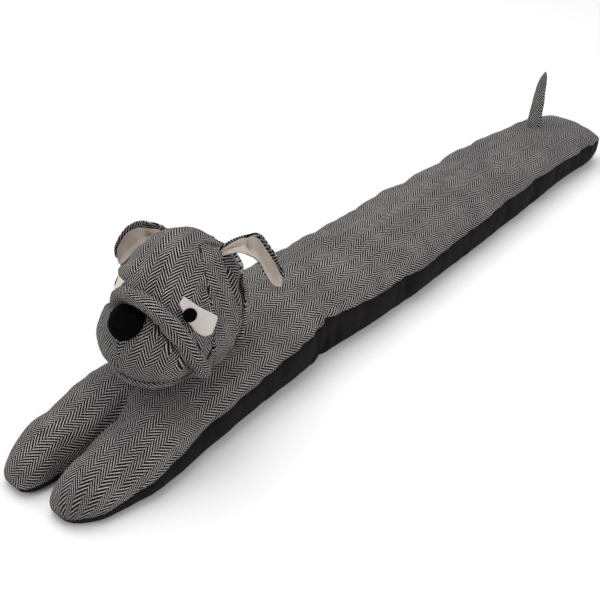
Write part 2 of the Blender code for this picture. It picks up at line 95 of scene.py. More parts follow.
floor_mesh = bpy.data.meshes.new("floor")
floor_mesh.from_pydata(
    [(-FLOOR, -FLOOR, 0), (FLOOR, -FLOOR, 0), (FLOOR, FLOOR, 0), (-FLOOR, FLOOR, 0)],
    [], [(0, 1, 2, 3)])
floor = bpy.data.objects.new("floor", floor_mesh)
scene.collection.objects.link(floor)
pale = bpy.data.materials.new("pale_floor")
pale.use_nodes = True
pale.node_tree.nodes["Principled BSDF"].inputs["Base Color"].default_value = PALE
pale.node_tree.nodes["Principled BSDF"].inputs["Roughness"].default_value = 0.9
floor_mesh.materials.append(pale)

# ---------------------------------------------------------------------------
# The cushion: tweed above and black cotton below, sewn together round the edge
# and stuffed. The front is split into two paws, and the underside lies flat.
# ---------------------------------------------------------------------------
MIDDLE = 0.450           # the origin, on lengths that run from the front of the paws
LENGTH = 0.918
CROTCH = 0.080           # where the paws part, along and across
CROTCH_ACROSS = -0.003
PAW_SPREAD = 0.05        # they part over this length
VALLEY = 0.075           # behind the crotch the hollow between them fills over this length
PAW_ROUND = 0.044        # over this length a tip is rounded off
REAR_ROUND = 0.032
TIP_FULLNESS = 0.52      # 1 is a round paw, and less is a blunter one
PAW_TUCK = 0.016         # over this length the underside turns up to the seam
REAR_TUCK = 0.010
REAR_CORNER = 0.16       # share by which the rear end narrows
SIDE_INSET = 0.009       # how far the flat underside lies inside the seam
CROWN_FULLNESS = 0.85    # 1 is a round crown, and less is a fuller one
RIDGE_SHARE = 0.4        # how much of the body's bend the line between the halves follows
RIDGE_EASE = 0.10
PAW_ROWS = 20
BODY_ROWS = 168
REAR_ROWS = 12
TOP_COLUMNS = 24
SIDE_ANGLES = (0, 13, 26, 39, 52, 65, 78, 90)
FLAT_SHARES = (0.0, 0.12, 0.25, 0.4, 0.55, 0.7, 0.85, 1.0)
TIPS = {-1: 0.002, 1: -0.005}
PAW_INNERS = {-1: -0.008, 1: 0.003}
BODY = (
    # along, near,   far,   seam,  crown
    (0.000, -0.056, 0.056, 0.009, 0.044),
    (0.040, -0.071, 0.060, 0.012, 0.050),
    (0.080, -0.078, 0.062, 0.022, 0.057),
    (0.115, -0.079, 0.064, 0.030, 0.064),
    (0.160, -0.075, 0.065, 0.037, 0.070),
    (0.230, -0.069, 0.065, 0.041, 0.075),
    (0.290, -0.067, 0.064, 0.047, 0.077),
    (0.342, -0.062, 0.063, 0.053, 0.076),
    (0.390, -0.066, 0.062, 0.047, 0.076),
    (0.470, -0.069, 0.062, 0.042, 0.076),
    (0.560, -0.068, 0.061, 0.040, 0.075),
    (0.650, -0.066, 0.055, 0.042, 0.074),
    (0.750, -0.062, 0.049, 0.043, 0.071),
    (0.850, -0.057, 0.043, 0.038, 0.061),
    (0.918, -0.062, 0.032, 0.034, 0.050),
)
PUCKER = 0.0019          # how far the gathers along the seam stand out
FINE_GATHERS = 75        # gathers to a metre, more or less
BROAD_GATHERS = 24
GATHER_BAND = 0.014      # how far in from the seam they reach
LUMP = 0.0022            # how far the stuffing pushes the crown up and down
LUMP_RATES = (19, 24)    # lumps to a metre along and across
CHIN_REST = (0.115, -0.010)  # the cushion bulges up before the chin here
CHIN_SPREAD = (0.030, 0.050)
CHIN_RISE = 0.004
CUSHION_PRESSURE = 2.5
CUSHION_SPARE = 0.015    # share of extra cloth that has to wrinkle
STUFF_CAP = 0.006        # no point moves further than this when the cushion is filled
FRAMES = 18              # after so many frames of the simulation the filling has settled
MEETING = 50000          # points that agree to this part of a metre are one


def row_value(table, column, along):
    """One column of a table at a distance along it, on a smooth curve through its rows."""
    last = len(table) - 1
    if along <= table[0][0]:
        return table[0][column]
    if along >= table[last][0]:
        return table[last][column]
    row = max(i for i in range(last) if table[i][0] <= along)
    before, start = table[max(row - 1, 0)], table[row]
    end, after = table[row + 1], table[min(row + 2, last)]
    span = end[0] - start[0]
    share = (along - start[0]) / span
    slope_in = (end[column] - before[column]) / (end[0] - before[0]) * span
    slope_out = (after[column] - start[column]) / (after[0] - start[0]) * span
    square, cube = share * share, share ** 3
    return (
        (2 * cube - 3 * square + 1) * start[column] + (cube - 2 * square + share) * slope_in
        + (3 * square - 2 * cube) * end[column] + (cube - square) * slope_out
    )


def eased(share):
    share = min(max(share, 0.0), 1.0)
    return share * share * (3 - 2 * share)


def rounded(share):
    share = min(max(share, 0.0), 1.0)
    return math.sqrt(1 - (1 - share) ** 2)


def half_section(side, along):
    """Outer and inner edge, seam height, rise of the crown, and how far the halves join."""
    outer = row_value(BODY, 1 if side < 0 else 2, along)
    sum_of_edges = row_value(BODY, 1, along) + row_value(BODY, 2, along)
    middle = CROTCH_ACROSS + RIDGE_SHARE * (sum_of_edges - 2 * CROTCH_ACROSS)
    if along < CROTCH:
        apart = (PAW_INNERS[side] - CROTCH_ACROSS) * eased((CROTCH - along) / PAW_SPREAD)
    else:
        apart = (middle - CROTCH_ACROSS) * eased((along - CROTCH) / RIDGE_EASE)
    inner = CROTCH_ACROSS + apart
    joined = eased((along - CROTCH) / VALLEY)
    close = rounded((along - TIPS[side]) / PAW_ROUND)
    end = rounded((LENGTH - along) / REAR_ROUND)
    centre = 0.5 * (outer + inner)
    width = close ** TIP_FULLNESS
    outer = centre + (outer - centre) * width
    inner = centre + (inner - centre) * width
    outer = outer - (outer - middle) * REAR_CORNER * (1 - end)
    seam = row_value(BODY, 3, along)
    rise = (row_value(BODY, 4, along) - seam) * close * end
    return outer, inner, seam, rise, joined, close * end


def half_stations(side):
    tip = TIPS[side]
    span = LENGTH - REAR_ROUND - CROTCH
    front = [tip + (CROTCH - tip) * (1 - math.cos(0.5 * math.pi * i / PAW_ROWS))
             for i in range(PAW_ROWS)]
    middle = [CROTCH + span * i / BODY_ROWS for i in range(BODY_ROWS)]
    rear = [LENGTH - REAR_ROUND * (1 - math.sin(0.5 * math.pi * i / REAR_ROWS))
            for i in range(REAR_ROWS + 1)]
    return front + middle + rear


def gathers(side, along):
    """How far the sewn edge wanders in and out, from the pull of its stitches."""
    fine = noise.noise(Vector((along * FINE_GATHERS, side * 3.7, 0.5)))
    broad = noise.noise(Vector((along * BROAD_GATHERS, side * 9.1, 2.5)))
    return PUCKER * (1.1 * fine + 2.0 * broad)


def top_points(side, along):
    """The tweed over one half from its edge inwards: points, and the cloth used up."""
    outer, inner, seam, rise, joined, open_share = half_section(side, along)
    last = math.pi * (1 - 0.5 * joined)
    points = []
    for i in range(TOP_COLUMNS + 1):
        angle = last * i / TOP_COLUMNS
        across = (1 - math.cos(angle)) / (1 - math.cos(last))
        up = max(math.sin(angle), 0.0) ** CROWN_FULLNESS
        y = outer + (inner - outer) * across
        z = seam + rise * up
        edge = math.exp(-((y - outer) / GATHER_BAND) ** 2) if across < 0.5 else 0.0
        y += side * gathers(side, along) * edge * open_share
        z += 0.8 * gathers(side, along + 0.3) * edge * up * open_share
        y_from_chin = (y - CHIN_REST[1]) / CHIN_SPREAD[1]
        x_from_chin = (along - CHIN_REST[0]) / CHIN_SPREAD[0]
        z += CHIN_RISE * math.exp(-x_from_chin ** 2 - y_from_chin ** 2) * up
        lumps = noise.noise(Vector((along * LUMP_RATES[0], y * LUMP_RATES[1], 1.0)))
        z += LUMP * lumps * up * open_share * (0.4 + 0.6 * min(1.0, along / 0.3))
        points.append(Vector((along - MIDDLE, y, z)))
    crest = TOP_COLUMNS * 0.5 * math.pi / last
    used = [0.0]
    for i in range(TOP_COLUMNS, 0, -1):
        used.insert(0, used[0] + (points[i] - points[i - 1]).length)
    whole = min(int(crest), TOP_COLUMNS - 1)
    part = crest - whole
    to_crest = used[whole] * (1 - part) + used[whole + 1] * part
    crest_at = points[whole].lerp(points[whole + 1], part)
    spare = to_crest - abs(crest_at.y - inner)
    return points, [side * (length - spare) for length in used], crest_at


def base_points(side, along):
    """The cotton over one half, down its side and in along the floor."""
    outer, inner, seam, _, joined, open_share = half_section(side, along)
    turned = min(rounded((along - TIPS[side]) / PAW_TUCK),
                 rounded((LENGTH - along) / REAR_TUCK))
    inset = SIDE_INSET * turned * side
    free = 1 - joined
    pull = side * gathers(side, along) * open_share
    points = []
    for angle in SIDE_ANGLES:
        sweep = math.radians(angle)
        y = outer + pull * math.cos(sweep) - inset * (1 - math.cos(sweep))
        points.append(Vector((along - MIDDLE, y, seam * (1 - turned * math.sin(sweep)))))
    start = outer - inset
    stop = inner + inset * free
    for share in FLAT_SHARES[1:-1]:
        points.append(Vector((along - MIDDLE, start + (stop - start) * share,
                              seam * (1 - turned))))
    for angle in reversed(SIDE_ANGLES):
        sweep = math.radians(angle)
        y = inner + inset * free * (1 - math.cos(sweep))
        z = seam * (1 - turned * (joined + free * math.sin(sweep)))
        points.append(Vector((along - MIDDLE, y, z)))
    return points


def key(point):
    return tuple(round(value * MEETING) for value in point)


def grid_quads(rows, flip):
    """Corner points of the faces between neighbouring rows, without folded-up ones."""
    quads = []
    for i in range(len(rows) - 1):
        for j in range(len(rows[0]) - 1):
            corners = [(i, j), (i + 1, j), (i + 1, j + 1), (i, j + 1)]
            if flip:
                corners.reverse()
            seen = []
            for a, b in corners:
                if all(key(rows[a][b]) != key(rows[c][d]) for c, d in seen):
                    seen.append((a, b))
            if len(seen) > 2:
                quads.append(seen)
    return quads


def set_cloth(piece, laid):
    """Stores each point's place on the flat cloth as the piece's UV map."""
    corners = np.empty(len(piece.data.loops), dtype=np.int32)
    piece.data.loops.foreach_get("vertex_index", corners)
    layer = piece.data.uv_layers.get("cloth") or piece.data.uv_layers.new(name="cloth")
    layer.data.foreach_set("uv", laid[corners].ravel())


def sewn_mesh(name, grids, material):
    """One mesh from grids of points; points that meet are one, and cloth is its UV map.

    Each grid is its rows of points, its rows of flat cloth positions, and a flip.
    """
    numbers = {}
    points = []
    faces = []
    laid = []
    for rows, cloth, flip in grids:
        for corners in grid_quads(rows, flip):
            face = []
            for i, j in corners:
                point = rows[i][j]
                number = numbers.setdefault(key(point), len(points))
                if number == len(points):
                    points.append(point)
                face.append(number)
            if len(set(face)) < 3:
                continue
            faces.append(face)
            laid.extend(cloth[i][j] for i, j in corners)
    data = bpy.data.meshes.new(name)
    data.from_pydata(points, [], faces)
    layer = data.uv_layers.new(name="cloth")
    layer.data.foreach_set("uv", [value for place in laid for value in place])
    data.materials.append(material)
    data.shade_smooth()
    made = bpy.data.objects.new(name, data)
    scene.collection.objects.link(made)
    return made, numbers


def coordinates(piece):
    places = np.empty(len(piece.data.vertices) * 3)
    piece.data.vertices.foreach_get("co", places)
    return places.reshape(-1, 3)


def outward(piece):
    normals = np.empty(len(piece.data.vertices) * 3)
    piece.data.vertices.foreach_get("normal", normals)
    return normals.reshape(-1, 3)


def move_to(piece, places):
    piece.data.vertices.foreach_set("co", np.asarray(places).ravel())
    piece.data.update()


def bake(piece):
    """Works the piece's modifiers into its mesh."""
    bpy.context.view_layer.update()
    evaluated = piece.evaluated_get(bpy.context.evaluated_depsgraph_get())
    old = piece.data
    made = bpy.data.meshes.new_from_object(evaluated)
    piece.modifiers.clear()
    piece.data = made
    bpy.data.meshes.remove(old)


def face_outward(piece):
    mesh = bmesh.new()
    mesh.from_mesh(piece.data)
    bmesh.ops.recalc_face_normals(mesh, faces=mesh.faces)
    if mesh.calc_volume(signed=True) < 0:
        bmesh.ops.reverse_faces(mesh, faces=mesh.faces)
    mesh.to_mesh(piece.data)
    mesh.free()


def refine(piece):
    finer = piece.modifiers.new("finer", "SUBSURF")
    finer.levels = 1
    finer.render_levels = 1
    bake(piece)
    piece.data.shade_smooth()


def stuff(piece, hold, pressure, cap, spare):
    """Fills a closed shape from within as cloth, and returns where its points settle.

    hold is how firmly each point is held, spare the share of extra cloth that has to
    wrinkle, and cap the furthest that a point may go.
    """
    start = coordinates(piece)
    group = piece.vertex_groups.new(name="held")
    for number, weight in enumerate(hold):
        if weight > 0.01:
            group.add([number], float(weight), "REPLACE")
    filling = piece.modifiers.new("filling", "CLOTH")
    settings = filling.settings
    settings.quality = 6
    settings.mass = 0.25
    settings.tension_stiffness = 18
    settings.compression_stiffness = 12
    settings.shear_stiffness = 6
    settings.bending_stiffness = 0.6
    settings.use_pressure = True
    settings.uniform_pressure_force = pressure
    settings.shrink_min = -spare
    settings.vertex_group_mass = "held"
    settings.effector_weights.gravity = 0.0
    for number in range(1, FRAMES + 1):
        scene.frame_set(number)
    evaluated = piece.evaluated_get(bpy.context.evaluated_depsgraph_get())
    settled = np.empty(len(start) * 3)
    evaluated.data.vertices.foreach_get("co", settled)
    step = settled.reshape(-1, 3) - start
    far = np.linalg.norm(step, axis=1, keepdims=True)
    step *= np.minimum(1.0, cap / np.maximum(far, 1e-9))
    piece.modifiers.clear()
    scene.frame_set(1)
    return start + step


def press_folds(piece, folds, place=Matrix.Identity(4)):
    """Presses creases along lines of points, each with its width and its depth."""
    points = coordinates(piece)
    normals = outward(piece)
    shift = np.zeros(len(points))
    for line, width, depth in folds:
        line = [np.array(place @ Vector(point)) for point in line]
        gap = np.full(len(points), 9.0)
        for start, end in zip(line, line[1:]):
            run = end - start
            share = np.clip(((points - start) @ run) / (run @ run), 0, 1)
            reach = np.linalg.norm(points - start - share[:, None] * run, axis=1)
            gap = np.minimum(gap, reach / width)
        shift += depth * (0.4 * np.exp(-((gap - 1.9) ** 2)) - np.exp(-gap ** 2))
    move_to(piece, points + normals * shift[:, None])


def finish_padded(piece, node, fill, material, slot):
    """Gives a padded piece its cloth, hangs it from the root and hides its packed part."""
    piece.data.materials.clear()
    piece.data.materials.append(material)
    piece.data.shade_smooth()
    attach(piece, "root")
    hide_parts(node)


class Wire:
    """One socket of a material, for writing its sums as plain arithmetic."""

    def __init__(self, tree, socket):
        self.tree = tree
        self.socket = socket

    def node(self, kind, settings, inputs, output=0):
        """Adds a node of any kind: its settings first, then its sockets."""
        made = self.tree.nodes.new(kind)
        for name, value in settings.items():
            setattr(made, name, value)
        for name, value in inputs.items():
            if isinstance(value, Wire):
                self.tree.links.new(value.socket, made.inputs[name])
            else:
                made.inputs[name].default_value = value
        return Wire(self.tree, made.outputs[output])

    def sum(self, operation, *values):
        return self.node("ShaderNodeMath", {"operation": operation}, dict(enumerate(values)))

    def __add__(self, other):
        return self.sum("ADD", self, other)

    def __sub__(self, other):
        return self.sum("SUBTRACT", self, other)

    def __rsub__(self, other):
        return self.sum("SUBTRACT", other, self)

    def __mul__(self, other):
        return self.sum("MULTIPLY", self, other)

    def __truediv__(self, other):
        return self.sum("DIVIDE", self, other)

    def __abs__(self):
        return self.sum("ABSOLUTE", self)

    __radd__ = __add__
    __rmul__ = __mul__

    def floor(self):
        return self.sum("FLOOR", self)

    def fraction(self):
        return self.sum("FRACT", self)

    def step(self, low, high):
        """0 below low and 1 above high, smoothly between; low may be the larger."""
        return self.node("ShaderNodeMapRange", {"interpolation_type": "SMOOTHSTEP"},
                         {"Value": self, "From Min": low, "From Max": high})

    def speckle(self, size, detail=2.0, stretch=None):
        """Noise at this position socket, in specks about this many metres across."""
        place = self
        if stretch:
            place = self.node("ShaderNodeVectorMath", {"operation": "MULTIPLY"},
                              {0: self, 1: stretch})
        return self.node("ShaderNodeTexNoise", {"noise_dimensions": "3D"},
                         {"Vector": place, "Scale": 1.0 / size, "Detail": detail})

    def blend(self, first, second):
        """A colour from first to second as this value goes from 0 to 1."""
        mix = self.tree.nodes.new("ShaderNodeMix")
        mix.data_type = "RGBA"
        self.tree.links.new(self.socket, mix.inputs["Factor"])
        for number, colour in ((6, first), (7, second)):
            if isinstance(colour, Wire):
                self.tree.links.new(colour.socket, mix.inputs[number])
            else:
                mix.inputs[number].default_value = (*colour, 1.0)
        return Wire(self.tree, mix.outputs[2])


def cloth_material(name, sheen):
    """A material with its principled shader, and its flat cloth and solid positions."""
    material = bpy.data.materials.new(name)
    material.use_nodes = True
    tree = material.node_tree
    shader = tree.nodes["Principled BSDF"]
    shader.inputs["Sheen Weight"].default_value = sheen
    shader.inputs["Sheen Roughness"].default_value = 0.6
    shader.inputs["Specular IOR Level"].default_value = 0.12
    start = Wire(tree, None)
    laid = start.node("ShaderNodeUVMap", {"uv_map": "cloth"}, {})
    solid = start.node("ShaderNodeTexCoord", {}, {}, output="Object")
    return material, shader, laid, solid


def connect(shader, colour, roughness, height, depth):
    """Feeds the shader its colour, its roughness and, through a bump, its relief."""
    tree = colour.tree
    tree.links.new(colour.socket, shader.inputs["Base Color"])
    tree.links.new(roughness.socket, shader.inputs["Roughness"])
    bump = height.node("ShaderNodeBump", {}, {"Height": height, "Distance": depth})
    tree.links.new(bump.socket, shader.inputs["Normal"])


# The tweed is a herringbone: slanting light and dark lines that turn back at every
# column, woven from hairy yarn with a few pink and blue fibres in it.
REPEAT = 0.0175          # two columns of the herringbone
LINE_PITCH = 0.0041      # one light and one dark line, measured along the body
LINE_SLOPE = 1.25        # a line runs this far along for each step across
TURN_BREAK = 0.42        # share of the pitch that lines are offset by at each turn
YARN = 0.00103
LIGHT_YARN = (0.66, 0.62, 0.60)
GREY_YARN = (0.52, 0.49, 0.48)
PINK_YARN = (0.58, 0.36, 0.35)
BLUE_YARN = (0.40, 0.41, 0.52)
DARK_YARN = (0.0030, 0.0026, 0.0033)
BROWN_YARN = (0.014, 0.011, 0.0115)


def make_tweed():
    material, shader, laid, solid = cloth_material("herringbone_tweed", 0.008)
    parts = laid.node("ShaderNodeSeparateXYZ", {}, {"Vector": laid})
    along = Wire(laid.tree, parts.socket.node.outputs["X"])
    across = Wire(laid.tree, parts.socket.node.outputs["Y"])
    drift = solid.speckle(0.060, 1.0) - 0.5
    wander = solid.speckle(0.0022, 2.0) - 0.5
    hair = solid.speckle(0.0006, 3.0)
    column = ((across + drift * 0.0014) / REPEAT).fraction()
    break_at_turn = (column * 2.0).floor() * (TURN_BREAK * LINE_PITCH)
    fold = abs(column - 0.5) * REPEAT
    yarns = fold / YARN
    stepped = (yarns.floor() + 0.5) * YARN
    slant = (stepped * 0.5 + fold * 0.5) * LINE_SLOPE
    place = along + slant + break_at_turn + wander * 0.0014
    line = abs((place / LINE_PITCH).fraction() - 0.5) * 2.0
    edge = abs(yarns.fraction() - 0.5) * 2.0
    turn = abs(fold - REPEAT * 0.25) / (REPEAT * 0.25)
    # Each pale yarn is painted darker towards its edges: painted shade of its round form in the
    # grooves between neighbouring yarns.
    light = line.step(0.42, 0.20) * (1.0 - 0.30 * edge.step(0.72, 1.0))
    light = light * (1.0 - 0.35 * turn.step(0.93, 1.0))
    light = light * (0.70 + 0.55 * hair)
    patch = solid.speckle(0.030, 2.0)
    pink = solid.speckle(0.0045, 2.0, (1.0, 1.0, 1.2)).step(0.60, 0.72)
    front = along.step(0.16, -0.02)
    pale_yarn = patch.step(0.35, 0.68).blend(GREY_YARN, LIGHT_YARN)
    pale_yarn = (pink * (0.25 + 0.6 * front)).blend(pale_yarn, PINK_YARN)
    pale_yarn = (solid.speckle(0.12, 1.0).step(0.48, 0.66) * 0.14).blend(pale_yarn, BLUE_YARN)
    dark_yarn = solid.speckle(0.006, 3.0).step(0.4, 0.75).blend(DARK_YARN, BROWN_YARN)
    colour = light.blend(dark_yarn, pale_yarn)
    relief = light * 0.55 + (1.0 - edge.step(0.3, 1.0)) * 0.3 + hair * 0.35
    connect(shader, colour, 0.86 + 0.12 * hair, relief, 0.0007)
    return material


# The underside is a black cotton of a plain, close weave, a little dusty on its folds, with
# painted shade between its threads.
COTTON_THREAD = 0.0009
BLACK_COTTON = (0.0030, 0.0024, 0.0030)
COTTON_DUST_AND_LIT_CROWNS = (0.0125, 0.0098, 0.0115)


def plain_weave(laid, thread):
    """Height of a plain weave's threads, over and under by turns."""
    parts = laid.node("ShaderNodeSeparateXYZ", {}, {"Vector": laid})
    along = Wire(laid.tree, parts.socket.node.outputs["X"]) / thread
    across = Wire(laid.tree, parts.socket.node.outputs["Y"]) / thread
    over = abs(((along.floor() + across.floor()) * 0.5).fraction() * 2.0)
    warp = 1.0 - abs(along.fraction() - 0.5) * 2.0
    weft = 1.0 - abs(across.fraction() - 0.5) * 2.0
    return over * warp + (1.0 - over) * weft


def make_cotton(name, thread, body, dust_and_lit_crowns, sheen, depth):
    material, shader, laid, solid = cloth_material(name, sheen)
    weave = plain_weave(laid, thread)
    fibre = solid.speckle(0.0008, 3.0)
    cloud = solid.speckle(0.022, 3.0)
    # The paler colour is dust and wear in clouds and fibres, and the weave keeps it to the
    # threads' crowns: painted shade in the gaps between threads.
    shade = (0.55 * cloud.step(0.35, 0.7) + 0.45 * fibre) * (0.55 + 0.45 * weave)
    colour = shade.blend(body, dust_and_lit_crowns)
    relief = weave * 0.6 + fibre * 0.4
    connect(shader, colour, 0.84 + 0.12 * fibre, relief, depth)
    return material


tweed = make_tweed()
black_cotton = make_cotton("close_black_cotton", COTTON_THREAD, BLACK_COTTON, COTTON_DUST_AND_LIT_CROWNS,
                           0.01, 0.0004)


def cushion_grids(side):
    """The grids of one half: tweed, cotton, and the cloth's own measure along them."""
    stations = half_stations(side)
    tops, used, crests = zip(*(top_points(side, along) for along in stations))
    bases = [base_points(side, along) for along in stations]
    runs = [0.0]
    for before, after in zip(crests, crests[1:]):
        runs.append(runs[-1] + (after - before).length)
    shift = CROTCH - runs[PAW_ROWS]
    top_cloth = [[(run + shift, v) for v in widths] for run, widths in zip(runs, used)]
    base_cloth = []
    for run, line in zip(runs, bases):
        down = [0.0]
        for a, b in zip(line, line[1:]):
            down.append(down[-1] + (b - a).length)
        base_cloth.append([(run + shift, v) for v in down])
    return stations, tops, top_cloth, bases, base_cloth


halves = {side: cushion_grids(side) for side in (-1, 1)}
shell_grids = []
for side, (_, tops, top_cloth, bases, base_cloth) in halves.items():
    shell_grids.append((tops, top_cloth, side < 0))
    shell_grids.append((bases, base_cloth, side > 0))
shell, shell_numbers = sewn_mesh("cushion_shell", shell_grids, tweed)
face_outward(shell)
shell_points = coordinates(shell)
seam_keys = set()
for side, (_, tops, _, bases, _) in halves.items():
    seam_keys.update(key(line[0]) for line in tops)
    seam_keys.update(key(line[-1]) for along, line in zip(halves[side][0], bases)
                     if along < CROTCH)
hold = np.clip((0.012 - shell_points[:, 2]) / 0.008, 0.0, 1.0)
for place in seam_keys:
    if place in shell_numbers:
        hold[shell_numbers[place]] = 1.0
settled = stuff(shell, hold, CUSHION_PRESSURE, STUFF_CAP, CUSHION_SPARE)
settled[:, 2] = np.maximum(settled[:, 2], 0.0)
bpy.data.objects.remove(shell)


def after_filling(point):
    number = shell_numbers.get(key(point))
    return point if number is None else Vector(settled[number])


def inner_seam(side, stations, lines, shares):
    """The flat layer between the two panels, from the sewn edge in to the middle."""
    rows = []
    for along, line in zip(stations, lines):
        _, inner, seam, _, joined, _ = half_section(side, along)
        start = line[0]
        stop = line[-1] if along <= CROTCH else Vector((along - MIDDLE, inner, seam))
        rows.append([start.lerp(stop, share) for share in shares])
    return rows


top_grids = []
base_grids = []
for side, (stations, tops, top_cloth, bases, base_cloth) in halves.items():
    tops = [[after_filling(point) for point in line] for line in tops]
    bases = [[after_filling(point) for point in line] for line in bases]
    under = inner_seam(side, stations, tops, (0.0, 0.05, 0.35, 0.65, 0.95, 1.0))
    no_cloth = [[(0.0, 0.0)] * 6] * len(stations)
    top_grids += [(tops, top_cloth, side < 0), (under, no_cloth, side > 0)]
    base_grids += [(bases, base_cloth, side > 0), (under, no_cloth, side < 0)]
cushion_top, _ = sewn_mesh("cushion_top", top_grids, tweed)
cushion_base, _ = sewn_mesh("cushion_base", base_grids, black_cotton)

# Folds of the cushion: where the waist is drawn in, between the paws and at the rear.
CUSHION_FOLDS = (
    # points along, across and up;                                   width, depth
    (((-0.108, -0.070, 0.046), (-0.098, -0.050, 0.068), (-0.090, -0.030, 0.075)),
     0.007, 0.0017),
    (((-0.122, -0.066, 0.056), (-0.128, -0.048, 0.070)), 0.006, 0.0013),
    (((-0.085, -0.068, 0.052), (-0.078, -0.052, 0.068)), 0.005, 0.0012),
    (((-0.150, -0.070, 0.050), (-0.146, -0.056, 0.066)), 0.005, 0.0012),
    (((-0.108, -0.064, 0.050), (-0.110, -0.060, 0.020), (-0.112, -0.058, 0.004)),
     0.006, 0.0030),
    (((-0.094, -0.066, 0.046), (-0.090, -0.061, 0.012)), 0.005, 0.0022),
    (((-0.126, -0.066, 0.048), (-0.130, -0.060, 0.010)), 0.005, 0.0020),
    (((-0.105, 0.064, 0.050), (-0.105, 0.045, 0.070)), 0.007, 0.0016),
    (((0.02, -0.068, 0.038), (0.03, -0.062, 0.008)), 0.006, 0.0012),
    (((0.15, -0.068, 0.038), (0.145, -0.062, 0.008)), 0.006, 0.0012),
    (((0.30, -0.064, 0.040), (0.305, -0.058, 0.008)), 0.006, 0.0014),
    (((0.43, -0.060, 0.036), (0.40, -0.052, 0.050)), 0.007, 0.0022),
    (((0.452, 0.020, 0.040), (0.425, 0.022, 0.054)), 0.007, 0.0020),
    (((0.462, -0.030, 0.036), (0.440, -0.028, 0.052)), 0.006, 0.0016),
    (((-0.365, -0.0045, 0.040), (-0.32, -0.004, 0.060)), 0.007, 0.0020),
)
for piece, *details in ((cushion_top, "body_top", 0.7, tweed, "tweed"),
                        (cushion_base, "body_base", 0.6, black_cotton, "black_cotton")):
    face_outward(piece)
    refine(piece)
    press_folds(piece, CUSHION_FOLDS)
    places = coordinates(piece)
    places[:, 2] = np.maximum(places[:, 2], 0.0)
    move_to(piece, places)
    finish_padded(piece, *details)

# ---------------------------------------------------------------------------
# The tail: two small tweed pieces sewn to a flat point, lightly filled, standing
# near the rear end and sewn down round its foot.
# ---------------------------------------------------------------------------
TAIL_FOOT = 0.833
TAIL_RINGS = 34
TAIL_SIDES = 32
TAIL_UNEVEN = 0.10
TAIL_START = 0.0046      # where its cloth begins in the weave, and how wide that is
TAIL_GIRTH = 0.055
TAIL = (
    # height, lean,  half_length, half_width
    (0.050, -0.004, 0.0175, 0.0090),
    (0.070, -0.003, 0.0140, 0.0080),
    (0.090, -0.002, 0.0112, 0.0070),
    (0.110, 0.000, 0.0095, 0.0062),
    (0.128, 0.003, 0.0068, 0.0048),
    (0.138, 0.006, 0.0038, 0.0030),
    (0.143, 0.008, 0.0010, 0.0010),
)
rows = []
cloth = []
for i in range(TAIL_RINGS + 1):
    height = TAIL[0][0] + (TAIL[-1][0] - TAIL[0][0]) * i / TAIL_RINGS
    lean, half_length, half_width = (row_value(TAIL, column, height) for column in (1, 2, 3))
    row = []
    laid_row = []
    for j in range(TAIL_SIDES + 1):
        turn = 2 * math.pi * (j % TAIL_SIDES) / TAIL_SIDES
        wave = 1 + TAIL_UNEVEN * noise.noise(Vector((height * 70, math.cos(turn), math.sin(turn))))
        row.append(Vector((TAIL_FOOT + lean + half_length * wave * math.cos(turn) - MIDDLE,
                           half_width * wave * math.sin(turn), height)))
        laid_row.append((height, TAIL_START + (j / TAIL_SIDES) * TAIL_GIRTH))
    rows.append(row)
    cloth.append(laid_row)
foot = [rows[0][0].lerp(rows[0][TAIL_SIDES // 2], 0.5)] * (TAIL_SIDES + 1)
tip = [rows[-1][0].lerp(rows[-1][TAIL_SIDES // 2], 0.5)] * (TAIL_SIDES + 1)
tail, _ = sewn_mesh("tail_cloth", [([foot] + rows + [tip], [cloth[0]] + cloth + [cloth[-1]],
                                   False)], tweed)
face_outward(tail)
refine(tail)
press_folds(tail, (
    (((0.384, -0.007, 0.066), (0.383, -0.006, 0.10), (0.388, -0.004, 0.132)), 0.0022, 0.0014),
    (((0.384, 0.007, 0.066), (0.383, 0.006, 0.10), (0.388, 0.004, 0.132)), 0.0022, 0.0014),
    (((0.372, -0.004, 0.074), (0.392, -0.006, 0.070)), 0.0025, 0.0009),
))
finish_padded(tail, "tail", 0.5, tweed, "tweed")

# ---------------------------------------------------------------------------
# The head: a stuffed ball of four tweed panels, a back, a forehead and two cheeks.
# Each panel is filled on its own and held along its seams.
# ---------------------------------------------------------------------------
HEAD = Matrix.Translation((0.191 - MIDDLE, -0.004, 0.1295)) @ Matrix.Rotation(
    math.radians(7), 4, "Z")
HEAD_RADII = (0.068, 0.057, 0.082)
HEAD_HEART = (0.0, 0.0, 0.0)
BACK_CENTRE = (0.008, 0.0, -0.004)
BACK_RADII = (0.066, 0.060, 0.080)
PANEL_SLACK = 0.0006     # how far a panel is drawn in before it is filled
PANEL_PRESSURE = 3.0
PANEL_SPARE = 0.02
PANEL_FACE = 0.0020      # size of the faces of a panel and of a small piece
SMALL_FACE = 0.0012
MIDDLE_CONE = 0.985      # cosine of the cone in which a panel's middle is looked for


def head_direction(turn, lift):
    """A direction from the head's centre; a turn of 90 degrees looks to the near side."""
    turn, lift = math.radians(turn), math.radians(lift)
    return Vector((-math.cos(turn) * math.cos(lift), -math.sin(turn) * math.cos(lift),
                   math.sin(lift)))


